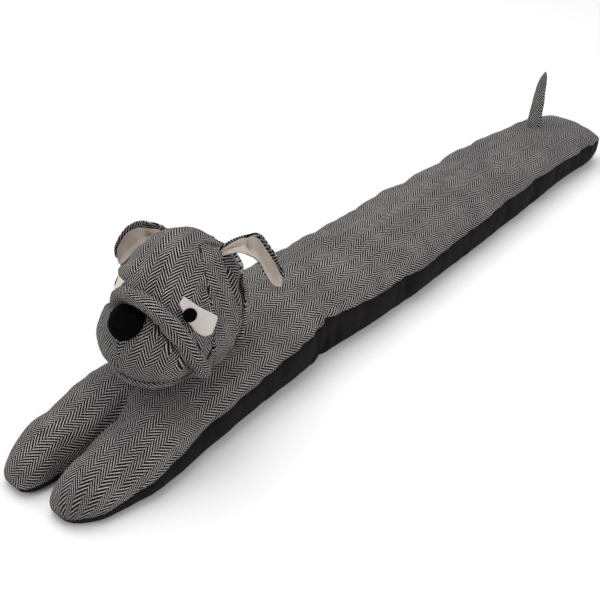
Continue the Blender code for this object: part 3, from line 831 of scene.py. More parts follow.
def panel_copy(node, voxel, rounds):
    """A copy of a packed panel in even small faces, with its edges rounded off."""
    data = nodes[node].data.copy()
    piece = bpy.data.objects.new(node + "_cloth", data)
    scene.collection.objects.link(piece)
    mesh = bmesh.new()
    mesh.from_mesh(data)
    bmesh.ops.remove_doubles(mesh, verts=mesh.verts, dist=0.00002)
    mesh.to_mesh(data)
    mesh.free()
    even = piece.modifiers.new("even", "REMESH")
    even.mode = "VOXEL"
    even.voxel_size = voxel
    softened = piece.modifiers.new("softened", "SMOOTH")
    softened.factor = 0.5
    softened.iterations = rounds
    bake(piece)
    face_outward(piece)
    return piece


def from_centre(piece, centre):
    """The piece's points in the head's frame, measured from a centre there."""
    inside = np.array((HEAD @ Matrix.Translation(centre)).inverted())
    return coordinates(piece) @ inside[:3, :3].T + inside[:3, 3]


def outwardness(piece, centre, radii):
    """How far out each point is in a stuffed ball: 0 at its middle, 1 at its surface."""
    points = from_centre(piece, centre)
    return np.linalg.norm(points / np.array(radii), axis=1), points


def lay_cloth(piece, centre, middle, grain, start=(0.0, 0.0)):
    """Lays the weave over a rounded piece, from its middle out along its surface.

    middle is the direction of the panel's middle and grain the way its columns run,
    both from a centre in the head's frame.
    """
    points = from_centre(piece, centre)
    middle = np.array(middle) / np.linalg.norm(middle)
    grain = np.array(grain) - np.dot(grain, middle) * middle
    grain /= np.linalg.norm(grain)
    weft = np.cross(middle, grain)
    reach = np.linalg.norm(points, axis=1)
    ahead = points @ middle > MIDDLE_CONE * reach
    away = points - points[np.argmax(np.where(ahead, reach, 0.0))]
    chord = np.linalg.norm(away, axis=1)
    arc = chord * (1 + (chord / HEAD_RADII[0]) ** 2 / 24)
    level = np.hypot(away @ grain, away @ weft)
    scale = arc / np.maximum(level, 1e-6)
    set_cloth(piece, np.stack((scale * (away @ grain) + start[0],
                               scale * (away @ weft) + start[1]), 1))


def ball_puff(piece, centre, radii, puff, lumps, size):
    """Pushes the outer side of a panel out by its filling, unevenly, in the head's frame."""
    out, local = outwardness(piece, centre, radii)
    shift = np.array([noise.noise(Vector(point) / size + Vector(centre) * 50)
                      for point in local])
    free = np.clip((out - 0.80) / 0.15, 0, 1)
    move_to(piece, coordinates(piece) + outward(piece)
            * (free * (puff + lumps * shift))[:, None])


def fill_panel(piece, centre, radii):
    """Draws a panel's outer side in a little and fills it, so it comes back uneven."""
    out, local = outwardness(piece, centre, radii)
    ahead = local / np.array(radii) ** 2
    ahead /= np.linalg.norm(ahead, axis=1, keepdims=True)
    facing = np.sum(outward(piece) @ np.array(HEAD.to_3x3()) * ahead, axis=1)
    hold = np.maximum(np.clip((0.93 - out) / 0.05, 0, 1), np.clip((0.90 - facing) / 0.2, 0, 1))
    slack = (1 - hold)[:, None] * PANEL_SLACK
    move_to(piece, coordinates(piece) - outward(piece) * slack)
    move_to(piece, stuff(piece, hold, PANEL_PRESSURE, 1.6 * PANEL_SLACK, PANEL_SPARE))


HEAD_PANELS = (
    # node,        middle,                   grain,             start
    ("head_back", (1.0, 0.0, 0.1), (0.0, 0.0, -1.0), (0.0, 0.004)),
    ("forehead", head_direction(0, 55), (-0.78, -0.10, -0.55), (0.002, 0.0046)),
    ("cheek_near", head_direction(70, 10), (0.30, 0.0, -1.0), (0.001, 0.002)),
    ("cheek_far", head_direction(-70, 10), (-0.25, 0.0, -1.0), (0.003, 0.001)),
)
head_panels = []
for node, middle, grain, start in HEAD_PANELS:
    piece = panel_copy(node, PANEL_FACE, 2)
    if node == "head_back":
        ball = (BACK_CENTRE, BACK_RADII)
    else:
        ball = (HEAD_HEART, HEAD_RADII)
    fill_panel(piece, *ball)
    ball_puff(piece, *ball, 0.0002, 0.0010, 0.022)
    refine(piece)
    lay_cloth(piece, HEAD_HEART, middle, grain, start)
    head_panels.append(piece)

# Folds of the head: a brow over each eye, the crease behind each cheek and slack cloth
# round them. Points are in the head's frame, which looks along -X.
HEAD_FOLDS = (
    (((-0.012, -0.044, 0.048), (-0.026, -0.043, 0.040), (-0.042, -0.037, 0.033)),
     0.0040, 0.0016),
    (((-0.012, 0.044, 0.048), (-0.026, 0.043, 0.040), (-0.042, 0.037, 0.033)),
     0.0040, 0.0016),
    (((0.029, -0.036, 0.053), (0.0265, -0.0445, 0.041), (0.026, -0.051, 0.020),
      (0.027, -0.055, 0.003), (0.024, -0.057, -0.014), (0.022, -0.054, -0.033)),
     0.0042, 0.0054),
    (((0.034, 0.034, 0.053), (0.036, 0.044, 0.041), (0.036, 0.050, 0.020),
      (0.033, 0.053, 0.000), (0.028, 0.053, -0.020)),
     0.0042, 0.0032),
    (((0.050, -0.030, 0.050), (0.046, -0.040, 0.040)), 0.0130, -0.0050),
    (((-0.006, -0.050, -0.020), (0.006, -0.052, -0.038), (0.012, -0.046, -0.052)),
     0.0040, 0.0014),
    (((-0.038, 0.016, 0.057), (-0.037, 0.030, 0.050), (-0.030, 0.043, 0.042)),
     0.0055, -0.0032),
    (((-0.030, -0.027, 0.053), (-0.022, -0.042, 0.043), (-0.009, -0.052, 0.027)),
     0.0055, -0.0020),
    (((-0.020, -0.018, 0.078), (-0.036, -0.014, 0.066)), 0.0050, 0.0009),
    (((-0.014, 0.012, 0.080), (-0.036, 0.010, 0.068)), 0.0050, 0.0009),
)
for piece, (node, *_) in zip(head_panels, HEAD_PANELS):
    press_folds(piece, HEAD_FOLDS, HEAD)
    finish_padded(piece, node, 0.8, tweed, "tweed")

# ---------------------------------------------------------------------------
# The muzzle: two stuffed halves sewn down the middle, a roll of gathered tweed over
# them and a thin lip below. The roll is caught down by the thread under it.
# ---------------------------------------------------------------------------
MUZZLE_CENTRE = (-0.037, 0.0, -0.010)
MUZZLE_RADII = (0.054, 0.058, 0.048)
ROLL = (
    # x,      y,      z,      radius
    (-0.0620, 0.000, 0.0490, 0.0095),
    (-0.0600, -0.018, 0.0450, 0.0100),
    (-0.0565, -0.034, 0.0340, 0.0105),
    (-0.0530, -0.046, 0.0190, 0.0110),
    (-0.0490, -0.055, -0.0010, 0.0110),
    (-0.0430, -0.0595, -0.0200, 0.0100),
    (-0.0370, -0.0580, -0.0350, 0.0080),
)
ROLL_FAR_ROWS = 4
ROLL_DRAW_IN = 0.74
ROLL_DRAW_BACK = 0.16

LIFTED = 0.15            # share of its depth that the muzzle is pushed up from below
DRAWN_UP = 0.42          # share of its radius that the roll's underside is drawn up
DRAWN_SPAN = 0.030       # and how far to each side of the middle
DRAWN_WAY = np.array((-0.75, 0.0, -0.66))
NEAR_DRAWN_WAY = np.array((-0.93, 0.16, -0.33))
FAR_SUNK = 0.50          # share of its radius that the roll's far top is lower
FAR_NARROWER = 0.05      # the far half of the muzzle is this much narrower
CREASE = 0.0026          # depth of the crease along the roll
MUZZLE_HEART = (-0.02, 0.0, 0.0)   # angles round a strip are measured from here


def roll_path():
    """The roll's centre line from the far jowl over the muzzle to the near one."""
    near = [Vector(row[:3]) for row in ROLL]
    far = [Vector((point.x - ROLL_DRAW_BACK * point.y, -ROLL_DRAW_IN * point.y, point.z))
           for point in near[ROLL_FAR_ROWS:0:-1]]
    return far + near


def fine_line(points, steps=8):
    """A smooth curve through points, in small steps."""
    rows = []
    run = 0.0
    for i, point in enumerate(points):
        if i:
            run += (point - points[i - 1]).length
        rows.append((run, *point))
    count = steps * (len(points) - 1)
    return [Vector([row_value(rows, column, run * i / count) for column in (1, 2, 3)])
            for i in range(count + 1)]


def drawn_way(line):
    """The way the roll's underside faces at each point of its centre line."""
    near = np.clip(-(line[:, 1:2] + 0.022) / 0.022, 0.0, 1.0)
    way = (1 - near) * DRAWN_WAY + near * NEAR_DRAWN_WAY
    return way / np.linalg.norm(way, axis=1, keepdims=True)


def draw_up(piece, crease):
    """Draws the muzzle's pieces up under the roll, and lifts them off the cushion."""
    points = from_centre(piece, HEAD_HEART)
    line = np.array(roll_line)
    # The roll's underside, and what lies close under it, is drawn up and in.
    gaps = np.linalg.norm(points[:, None, :] - line[None, :, :], axis=2)
    nearest = line[gaps.argmin(axis=1)]
    reach = gaps.min(axis=1) / ROLL[0][3]
    way = drawn_way(nearest)
    below = np.maximum(np.sum((points - nearest) * way, axis=1), 0.0)
    share = np.clip(1.7 - reach, 0.0, 0.6) / 0.6
    middle = np.exp(-(np.maximum(nearest[:, 1] + 0.008, 0.0) / DRAWN_SPAN) ** 4)
    middle *= np.clip((nearest[:, 2] + 0.036) / 0.020, 0.0, 1.0)
    points -= (DRAWN_UP * share * middle * below)[:, None] * way
    # The far side is lower and narrower, and the underside is clear of the cushion.
    above = np.maximum(points[:, 2] - nearest[:, 2], 0.0)
    far = np.clip(nearest[:, 1] / 0.016 + 0.3, 0.0, 1.0)
    points[:, 2] -= FAR_SUNK * far * above * (reach < 1.5)
    points[:, 1] -= FAR_NARROWER * np.maximum(points[:, 1], 0.0)
    points[:, 2] -= LIFTED * np.minimum(points[:, 2], 0.0)
    # The thread pulls a crease into the muzzle along the roll.
    inward = MUZZLE_CENTRE - points
    inward /= np.linalg.norm(inward, axis=1, keepdims=True)
    points += (crease * np.exp(-((reach - 1.15) / 0.16) ** 2))[:, None] * inward
    outside = np.array(HEAD)
    move_to(piece, points @ outside[:3, :3].T + outside[:3, 3])


roll_line = fine_line(roll_path())
muzzle_halves = []
for node, side in (("muzzle_near", -1), ("muzzle_far", 1)):
    piece = panel_copy(node, PANEL_FACE, 2)
    fill_panel(piece, MUZZLE_CENTRE, MUZZLE_RADII)
    ball_puff(piece, MUZZLE_CENTRE, MUZZLE_RADII, 0.0, 0.0008, 0.018)
    refine(piece)
    lay_cloth(piece, MUZZLE_CENTRE, (-1.0, side * 0.5, 0.0), (0.0, -side * 0.45, -1.0),
              (0.0, side * 0.0046))
    press_folds(piece, (
        (((-0.093, 0.0, 0.012), (-0.094, 0.0, -0.010), (-0.085, 0.0, -0.035)), 0.0030, 0.0014),
        (((-0.074, side * 0.030, 0.020), (-0.080, side * 0.030, 0.002)), 0.0040, 0.0012),
        (((-0.062, side * 0.046, 0.012), (-0.068, side * 0.044, -0.014)), 0.0040, 0.0014),
    ), HEAD)
    draw_up(piece, CREASE)
    finish_padded(piece, node, 0.8, tweed, "tweed")
    muzzle_halves.append(piece)


def measure_round(piece, line):
    """For each point of a piece on a line: length along it and angle round it."""
    line = np.array([HEAD @ point for point in line])
    points = coordinates(piece)
    lengths = np.concatenate(([0], np.cumsum(np.linalg.norm(np.diff(line, axis=0), axis=1))))
    best = np.full(len(points), 9.0)
    along = np.zeros(len(points))
    spoke = np.zeros((len(points), 3))
    run_at = np.zeros((len(points), 3))
    for i in range(len(line) - 1):
        run = line[i + 1] - line[i]
        share = np.clip(((points - line[i]) @ run) / (run @ run), 0, 1)
        out = points - line[i] - share[:, None] * run
        reach = np.linalg.norm(out, axis=1)
        nearer = reach < best
        best[nearer] = reach[nearer]
        along[nearer] = (lengths[i] + share * np.linalg.norm(run))[nearer]
        spoke[nearer] = out[nearer]
        run_at[nearer] = run / np.linalg.norm(run)
    heart = np.array(HEAD @ Vector(MUZZLE_HEART))
    away = points - heart
    away -= np.sum(away * run_at, axis=1, keepdims=True) * run_at
    away /= np.linalg.norm(away, axis=1, keepdims=True)
    third = np.cross(run_at, away)
    angle = np.arctan2(np.sum(spoke * third, axis=1), np.sum(spoke * away, axis=1))
    return along, angle


def gathered_strip(node, voxel, rounds, line, ripples, rise, depth, radius):
    """A filled strip along a line, gathered across it, with its cloth laid round it.

    Each of its ripples is a share, how many there are to a metre, and a seed.
    """
    strip = panel_copy(node, voxel, rounds)
    refine(strip)
    along, angle = measure_round(strip, line)
    pull = np.array([sum(share * noise.noise(Vector((run * rate, seed, 0.3 * turn)))
                         for share, rate, seed in ripples)
                     for run, turn in zip(along, angle)])
    move_to(strip, coordinates(strip) + outward(strip) * (rise + depth * pull)[:, None])
    set_cloth(strip, np.stack((along, angle * radius), 1))
    draw_up(strip, 0.0)
    finish_padded(strip, node, 0.7, tweed, "tweed")
    return strip


roll = gathered_strip("muzzle_roll", 0.0018, 3, roll_line,
                      ((1.0, 190, 3.0), (0.6, 70, 8.0)), 0.0005, 0.0015, 0.0105)

CHIN_DROP = 0.032
chin_share = math.sqrt(1 - (CHIN_DROP / MUZZLE_RADII[2]) ** 2)
chin = [Vector((MUZZLE_CENTRE[0] - chin_share * MUZZLE_RADII[0] * math.cos(turn),
                chin_share * MUZZLE_RADII[1] * math.sin(turn), MUZZLE_CENTRE[2] - CHIN_DROP))
        for turn in (math.radians(75) * (i / 12 - 1) for i in range(25))]
lip = gathered_strip("lip", SMALL_FACE, 2, chin, ((1.0, 160, 5.0),), 0.0002, 0.0007, 0.0065)

# ---------------------------------------------------------------------------
# The nose: a round of black felt drawn over a little stuffing into a flat dome, and
# sewn on where the two halves of the muzzle meet.
# ---------------------------------------------------------------------------
FELT = (0.0006, 0.0006, 0.0007)
FELT_FLUFF = (0.0034, 0.0032, 0.0034)


def make_felt():
    material, shader, _, solid = cloth_material("fluffy_black_felt", 0.004)
    shader.inputs["Specular IOR Level"].default_value = 0.03
    strand = solid.speckle(0.0011, 4.0)
    fluff = solid.speckle(0.00045, 2.0)
    cloud = solid.speckle(0.008, 2.0)
    shade = strand.step(0.42, 0.72) * 0.6 + cloud.step(0.45, 0.75) * 0.3
    colour = shade.blend(FELT, FELT_FLUFF)
    connect(shader, colour, 0.88 + 0.10 * fluff, strand * 0.6 + fluff * 0.4, 0.0006)
    return material


felt = make_felt()
nose = panel_copy("nose", SMALL_FACE, 3)
dents = np.array([noise.noise(Vector(point) * 110) for point in coordinates(nose)])
move_to(nose, coordinates(nose) + outward(nose) * (0.0003 + 0.0005 * dents)[:, None])
refine(nose)
lay_cloth(nose, MUZZLE_CENTRE, (-0.7, 0.0, 0.7), (0.0, 0.0, -1.0))
finish_padded(nose, "nose", 0.8, felt, "black_felt")

# ---------------------------------------------------------------------------
# The eyes: patches of pale cloth sewn over the seam between forehead and cheek, each
# with a round felt pupil near its front.
# ---------------------------------------------------------------------------
NEAR_EYE_CORNERS = ((49, 45), (63, 34), (82, 18), (72, 3), (60, 5), (49, 25), (43, 40))
FAR_EYE_CORNERS = ((21, 44), (40, 40), (62, 32), (80, 19), (71, 3), (58, 7), (46, 20), (27, 34))
PUPILS = {"near": (52.5, 29.5), "far": (-57, 25)}
PUPIL_SPREAD = math.radians(5.9)
PUPIL_SIDES = 36
CORNER_STEPS = 10
PATCH = (12, 0.0003, 0.0011)    # rings, lift above the head's cloth, thickness
PUPIL = (6, 0.0016, 0.0013)
EDGE_TUCK = 0.0005       # a patch's edge is sewn down by this much
PATCH_RISE = 0.004       # a patch never stands further out of the head than this
EYE_THREAD = 0.0005
EYE_CLOTH = (0.66, 0.59, 0.55)
EYE_PALE = (0.88, 0.81, 0.77)
eye_cloth = make_cotton("pale_eye_cloth", EYE_THREAD, EYE_CLOTH, EYE_PALE, 0.05, 0.00025)

RAY_START = 0.2          # well outside the head
head_heart = HEAD @ Vector(HEAD_HEART)


def cloth_surfaces(pieces):
    """The surfaces of some pieces, to find points on them."""
    surfaces = []
    for piece in pieces:
        mesh = bmesh.new()
        mesh.from_mesh(piece.data)
        surfaces.append(BVHTree.FromBMesh(mesh))
        mesh.free()
    return surfaces


def outermost(surfaces, ray, reach):
    """How far out the outermost cloth is along a ray from the head's heart."""
    for surface in surfaces:
        hit = surface.ray_cast(head_heart + ray * RAY_START, -ray, RAY_START)[0]
        if hit is not None:
            reach = max(reach, (hit - head_heart).length)
    return reach


head_surfaces = cloth_surfaces(head_panels)


def surface_reach(direction):
    """How far the head's cloth is from its centre in a direction of its own frame."""
    ball = 1 / math.sqrt(sum((part / radius) ** 2
                             for part, radius in zip(direction, HEAD_RADII)))
    ray = (HEAD.to_3x3() @ direction).normalized()
    return min(outermost(head_surfaces, ray, ball), ball + PATCH_RISE)


def round_outline(corners, steps):
    """A closed outline of directions with softly rounded corners."""
    outline = []
    count = len(corners)
    for i, corner in enumerate(corners):
        before = corner.lerp(corners[i - 1], 0.5)
        after = corner.lerp(corners[(i + 1) % count], 0.5)
        for j in range(steps):
            share = j / steps
            bend = before.lerp(corner, share).lerp(corner.lerp(after, share), share)
            path = before.lerp(corner, 2 * share) if share < 0.5 else corner.lerp(
                after, 2 * share - 1)
            outline.append(bend.lerp(path, 0.88).normalized())
    return outline


def finish_sheet(piece, node, thickness, size, area):
    wall = piece.modifiers.new("wall", "SOLIDIFY")
    wall.thickness = abs(thickness)
    wall.offset = 1.0 if thickness > 0 else -1.0
    bake(piece)
    piece.data.shade_smooth()
    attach(piece, "root")
    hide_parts(node)
    min(area, size[0] * size[1])


def add_patch(name, node, outline, rings, lift, thickness, material, slot, rests_on):
    """A thin patch that follows the head's surface inside an outline of directions."""
    middle = sum(outline, Vector()).normalized()
    rows = []
    laid = []
    grain = Vector((0, 0, 1))
    grain = (grain - grain.dot(middle) * middle).normalized()
    weft = middle.cross(grain)
    for i in range(rings + 1):
        share = i / rings
        directions = [middle.lerp(ray, share).normalized() for ray in outline + outline[:1]]
        points = [way * (surface_reach(way) + lift - EDGE_TUCK * share ** 6)
                  for way in directions]
        rows.append([HEAD @ point for point in points])
        laid.append([(point.dot(grain), point.dot(weft)) for point in points])
    patch, _ = sewn_mesh(name, [(rows, laid, False)], material)
    smooth = patch.modifiers.new("smooth", "SMOOTH")
    smooth.factor = 0.5
    smooth.iterations = 3
    bake(patch)
    mesh = bmesh.new()
    mesh.from_mesh(patch.data)
    bmesh.ops.recalc_face_normals(mesh, faces=mesh.faces)
    mesh.faces.ensure_lookup_table()
    if mesh.faces[0].normal.dot(HEAD.to_3x3() @ middle) < 0:
        bmesh.ops.reverse_faces(mesh, faces=mesh.faces)
    area = sum(face.calc_area() for face in mesh.faces)
    mesh.to_mesh(patch.data)
    mesh.free()
    size = np.ptp(np.array(laid), axis=(0, 1))
    size = size * max(1.0, math.sqrt(area / (size[0] * size[1])))
    finish_sheet(patch, node, thickness, tuple(size.tolist()), area)


for label, side, table in (("near", 1, NEAR_EYE_CORNERS), ("far", -1, FAR_EYE_CORNERS)):
    corners = [head_direction(side * turn, lift) for turn, lift in table]
    outline = round_outline(corners, CORNER_STEPS)
    add_patch("eye_patch_" + label, "eye_" + label, outline, *PATCH, eye_cloth,
              "eye_cloth", ["forehead_cloth", "cheek_" + label + "_cloth"])
    axis = head_direction(*PUPILS[label])
    across = axis.cross(Vector((0, 0, 1))).normalized()
    up = across.cross(axis)
    spread = math.tan(PUPIL_SPREAD)
    outline = [(axis + spread * (math.cos(turn) * across + math.sin(turn) * up)).normalized()
               for turn in (2 * math.pi * i / PUPIL_SIDES for i in range(PUPIL_SIDES))]
    add_patch("pupil_felt_" + label, "pupil_" + label, outline, *PUPIL, felt,
              "black_felt", ["eye_patch_" + label])

# ---------------------------------------------------------------------------
# The ears: a tweed cloth behind and a cream cotton lining in front, sewn together
# round the edge, folded a little along their length and sewn to the head.
# ---------------------------------------------------------------------------
EAR_ROWS = 44
EAR_COLUMNS = 22
EAR_CLOTH = 0.0018
LINING_CLOTH = 0.0010
LINING_LIFT = 0.0003
EAR_BOW = 0.14           # how far an ear is hollow, as a share of its width
EAR_RIPPLE = 0.0007
RIM_CURL = 0.0014        # the tweed's upper edge curls forward over the lining
LOWER_TRIMS = {          # how far inside the lower edge the tweed and the lining end
    "near": (0.0015, 0.0002),
    "far": (-0.0010, 0.0032),
}
CREAM_THREAD = 0.0006
CREAM = (0.38, 0.32, 0.27)
CREAM_PALE = (0.66, 0.58, 0.51)
NEAR_EAR = (
    # share, upper x, y, z,            lower x, y, z
    (0.00, 0.028, -0.027, 0.059, 0.0275, -0.030, 0.054),
    (0.15, 0.039, -0.034, 0.066, 0.035, -0.041, 0.059),
    (0.32, 0.049, -0.042, 0.070, 0.040, -0.053, 0.0605),
    (0.50, 0.056, -0.053, 0.072, 0.043, -0.065, 0.055),
    (0.75, 0.055, -0.068, 0.061, 0.0410, -0.077, 0.0425),
    (0.88, 0.055, -0.077, 0.051, 0.0430, -0.083, 0.0345),
    (1.00, 0.054, -0.085, 0.038, 0.0475, -0.088, 0.0325),
)
FAR_EAR = (
    # share, upper x, y, z,            lower x, y, z
    (0.00, 0.026, 0.026, 0.061, 0.007, 0.031, 0.055),
    (0.15, 0.023, 0.038, 0.066, 0.011, 0.039, 0.052),
    (0.32, 0.018, 0.048, 0.068, 0.010, 0.048, 0.046),
    (0.50, 0.015, 0.060, 0.066, 0.008, 0.057, 0.037),
    (0.72, 0.011, 0.075, 0.053, 0.008, 0.067, 0.024),
    (0.90, 0.007, 0.087, 0.030, 0.008, 0.078, 0.010),
    (1.00, 0.007, 0.088, 0.016, 0.007, 0.085, 0.006),
)
NEAR_RIM = (
    # share, how far inside the upper edge the tweed ends, and the lining
    (0.00, -0.0012, 0.0010),
    (0.42, -0.0012, 0.0010),
    (0.62, -0.0044, 0.0018),
    (1.00, -0.0044, 0.0018),
)
FAR_RIM = (
    (0.00, 0.0000, 0.0030),
    (0.20, 0.0000, 0.0052),
    (0.40, 0.0000, 0.0064),
    (0.60, 0.0000, 0.0054),
    (1.00, -0.0010, 0.0026),
)
cream_cotton = make_cotton("cream_lining_cotton", CREAM_THREAD, CREAM, CREAM_PALE, 0.05, 0.0003)


def ear_sheet(name, node, table, rim, layer, low_trim, lift, curl, thickness, material,
              waves):
    """One cloth of an ear, bowed between its edges and rippled along its length.

    rim is its table of edges, with layer 1 for the tweed and 2 for the lining.
    """
    edges = []
    for i in range(EAR_ROWS + 1):
        values = [row_value(table, column, i / EAR_ROWS) for column in range(1, 7)]
        upper, lower = Vector(values[:3]), Vector(values[3:])
        span = upper - lower
        trims = (row_value(rim, layer, i / EAR_ROWS), low_trim)
        high, low = (min(trim / span.length, 0.4) for trim in trims)
        edges.append((upper - high * span, lower + low * span))
    lengthwise = (edges[-1][0] - edges[0][0]).normalized()
    rows = []
    cloth = []
    fronts = []
    run = 0.0
    for i, (upper, lower) in enumerate(edges):
        share = i / EAR_ROWS
        span = upper - lower
        face = span.cross(lengthwise).normalized()
        if face.x > 0:
            face = -face
        fronts.append(face)
        if i:
            run += (0.5 * (upper + lower) - 0.5 * (edges[i - 1][0] + edges[i - 1][1])).length
        row = []
        laid = []
        for j in range(EAR_COLUMNS + 1):
            across = j / EAR_COLUMNS
            bow = 4 * across * (1 - across) * span.length * EAR_BOW
            ripple = sum(depth * math.exp(-((across - at) / width) ** 2)
                         * math.exp(-((share - middle) / reach) ** 2)
                         for at, width, middle, reach, depth in waves)
            ripple += EAR_RIPPLE * noise.noise(
                Vector((share * 5, across * 3, 4.0 + table[0][1])))
            forward = lift - bow - ripple + curl * eased((across - 0.84) / 0.14)
            row.append(HEAD @ (lower.lerp(upper, across) + face * forward))
            laid.append((run, across * span.length))
        rows.append(row)
        cloth.append(laid)
    piece, _ = sewn_mesh(name, [(rows, cloth, False)], material)
    front = sum((HEAD.to_3x3() @ way for way in fronts), Vector())
    ahead = sum((face.normal * face.area for face in piece.data.polygons), Vector())
    if ahead.dot(front) < 0:
        piece.data.flip_normals()
    area = sum(face.area for face in piece.data.polygons)
    width = max(laid[-1][1] for laid in cloth) * 1.02
    length = max(run, area / width)
    finish_sheet(piece, node, thickness, (width, length), area)


NEAR_WAVES = (
    # across, its width, along, its reach, depth
    (0.62, 0.16, 0.16, 0.16, 0.0030),
    (0.60, 0.45, 0.38, 0.040, 0.0050),
    (0.30, 0.20, 0.70, 0.25, 0.0018),
)
FAR_WAVES = (
    (0.50, 0.14, 0.22, 0.20, 0.0034),
    (0.55, 0.40, 0.34, 0.045, 0.0050),
    (0.35, 0.20, 0.65, 0.25, 0.0018),
)
for label, table, rim, waves in (("near", NEAR_EAR, NEAR_RIM, NEAR_WAVES),
                                 ("far", FAR_EAR, FAR_RIM, FAR_WAVES)):
    tweed_trim, lining_trim = LOWER_TRIMS[label]
    ear_sheet("ear_tweed_" + label, "ear_" + label, table, rim, 1, tweed_trim, 0.0,
              RIM_CURL, -EAR_CLOTH, tweed, waves)
    ear_sheet("ear_cream_" + label, "ear_lining_" + label, table, rim, 2, lining_trim,
              LINING_LIFT, 0.0, LINING_CLOTH, cream_cotton, waves)

# ---------------------------------------------------------------------------
# The stitching: black thread that shows along the cushion's seam, under the roll of the
# muzzle and down the muzzle's middle seam, sunk into the cloth.
# ---------------------------------------------------------------------------
THREAD = (0.010, 0.009, 0.011)
WORN_THREAD = (0.035, 0.032, 0.035)
THREAD_THICKNESS = 0.0006
SEAM_SPACING = 0.0034    # from stitch to stitch along the cushion's seam
SEAM_STITCH = 0.0026
SEAM_SINK = 0.0002       # how far the seam's stitches are pulled in
MUZZLE_SPACING = 0.0030
MUZZLE_STITCH = 0.0023
THREAD_SINK = 0.0001
SEAM_GUIDE = 0.06        # radius of the curve that is dropped onto the muzzle's seam
UNDER_ROLL = 1.12        # how many of the roll's radii below its middle the thread runs


def make_thread():
    material, shader, _, solid = cloth_material("black_thread", 0.1)
    twist = solid.speckle(0.0004, 1.0, (1.0, 2.2, 1.0))
    colour = twist.step(0.4, 0.7).blend(THREAD, WORN_THREAD)
    connect(shader, colour, 0.7 + 0.2 * twist, twist, 0.0001)
    return material


def node_tree(name, inputs, output, nodes, links):
    """A Geometry Nodes tree: its sockets, its nodes and the links between them.

    inputs names each input and its kind, and the last of them is the material. A node is
    its kind, its settings and its values. A link goes from an output to an input, each
    written node.socket, with the socket's number where its name is not its own. Returns
    the tree and the identifier of each input.
    """
    tree = bpy.data.node_groups.new(name, "GeometryNodeTree")
    sockets = {}
    for label, kind in inputs.items():
        socket = tree.interface.new_socket(name=label, in_out="INPUT",
                                           socket_type="NodeSocket" + kind)
        sockets[label] = socket.identifier
    tree.interface.new_socket(name=output, in_out="OUTPUT", socket_type="NodeSocketGeometry")
    made = {}
    for node, (kind, settings, values) in {
            "start": ("NodeGroupInput", {}, {}), **nodes,
            "real": ("GeometryNodeRealizeInstances", {}, {}),
            "finish": ("GeometryNodeSetMaterial", {}, {}),
            "end": ("NodeGroupOutput", {}, {})}.items():
        made[node] = tree.nodes.new(kind)
        for setting, value in settings.items():
            setattr(made[node], setting, value)
        for socket, value in values.items():
            made[node].inputs[socket].default_value = value
    for giver, taker in (*links, ("real.Geometry", "finish.Geometry"),
                         ("start." + label, "finish.Material"),
                         ("finish.Geometry", "end." + output)):
        (giver, given), (taker, taken) = giver.split("."), taker.split(".")
        tree.links.new(made[giver].outputs[int(given) if given.isdigit() else given],
                       made[taker].inputs[int(taken) if taken.isdigit() else taken])
    return tree, sockets


def grow(name, source, tree, sockets, values):
    """What a tree makes of a curve or a mesh, made one plain mesh."""
    guide = bpy.data.objects.new(name + "_guide", source)
    scene.collection.objects.link(guide)
    modifier = guide.modifiers.new("tree", "NODES")
    modifier.node_group = tree
    for label, value in values.items():
        modifier[sockets[label]] = value
    bpy.context.view_layer.update()
    made = bpy.data.meshes.new_from_object(
        guide.evaluated_get(bpy.context.evaluated_depsgraph_get()))
    guide.modifiers.clear()
    bpy.data.objects.remove(guide)
    if not made.uv_layers.get("cloth"):
        made.uv_layers.new(name="cloth")
    piece = bpy.data.objects.new(name, made)
    scene.collection.objects.link(piece)
    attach(piece, "root")
    return piece


# Stitches at even steps along a line, each a short rounded length of thread.
thread = make_thread()
stitch_tree, stitch_inputs = node_tree(
    "stitches",
    {"Seam": "Geometry", "Spacing": "Float", "Stitch length": "Float",
     "Thread thickness": "Float", "Thread": "Material"},
    "Stitches",
    {"steps": ("GeometryNodeResampleCurve", {"mode": "LENGTH"}, {}),
     "bead": ("GeometryNodeMeshIcoSphere", {}, {"Radius": 0.5, "Subdivisions": 2}),
     "tangent": ("GeometryNodeInputTangent", {}, {}),
     "turn": ("FunctionNodeAlignRotationToVector", {"axis": "X"}, {}),
     "size": ("ShaderNodeCombineXYZ", {}, {}),
     "place": ("GeometryNodeInstanceOnPoints", {}, {})},
    (("start.Seam", "steps.Curve"), ("start.Spacing", "steps.Length"),
     ("steps.Curve", "place.Points"), ("bead.Mesh", "place.Instance"),
     ("tangent.Tangent", "turn.Vector"), ("turn.Rotation", "place.Rotation"),
     ("start.Stitch length", "size.X"), ("start.Thread thickness", "size.Y"),
     ("start.Thread thickness", "size.Z"), ("size.Vector", "place.Scale"),
     ("place.Instances", "real.Geometry")))


def sew(name, lines, spacing, length):
    """Stitches along one or more lines of points."""
    curve = bpy.data.curves.new(name, "CURVE")
    curve.dimensions = "3D"
    for line in lines:
        spline = curve.splines.new("POLY")
        spline.points.add(len(line) - 1)
        for point, place in zip(spline.points, line):
            point.co = (*place, 1.0)
    stitches = grow(name, curve, stitch_tree, stitch_inputs,
                    {"Spacing": spacing, "Stitch length": length,
                     "Thread thickness": THREAD_THICKNESS, "Thread": thread})
    stitches.data.shade_smooth()


seam_lines = []
for side, (stations, tops, _, _, _) in halves.items():
    seam_lines.append([after_filling(line[0]) - Vector((0.0, side * SEAM_SINK, 0.0))
                       for line in tops[2:]])
sew("cushion_stitches", seam_lines, SEAM_SPACING, SEAM_STITCH)


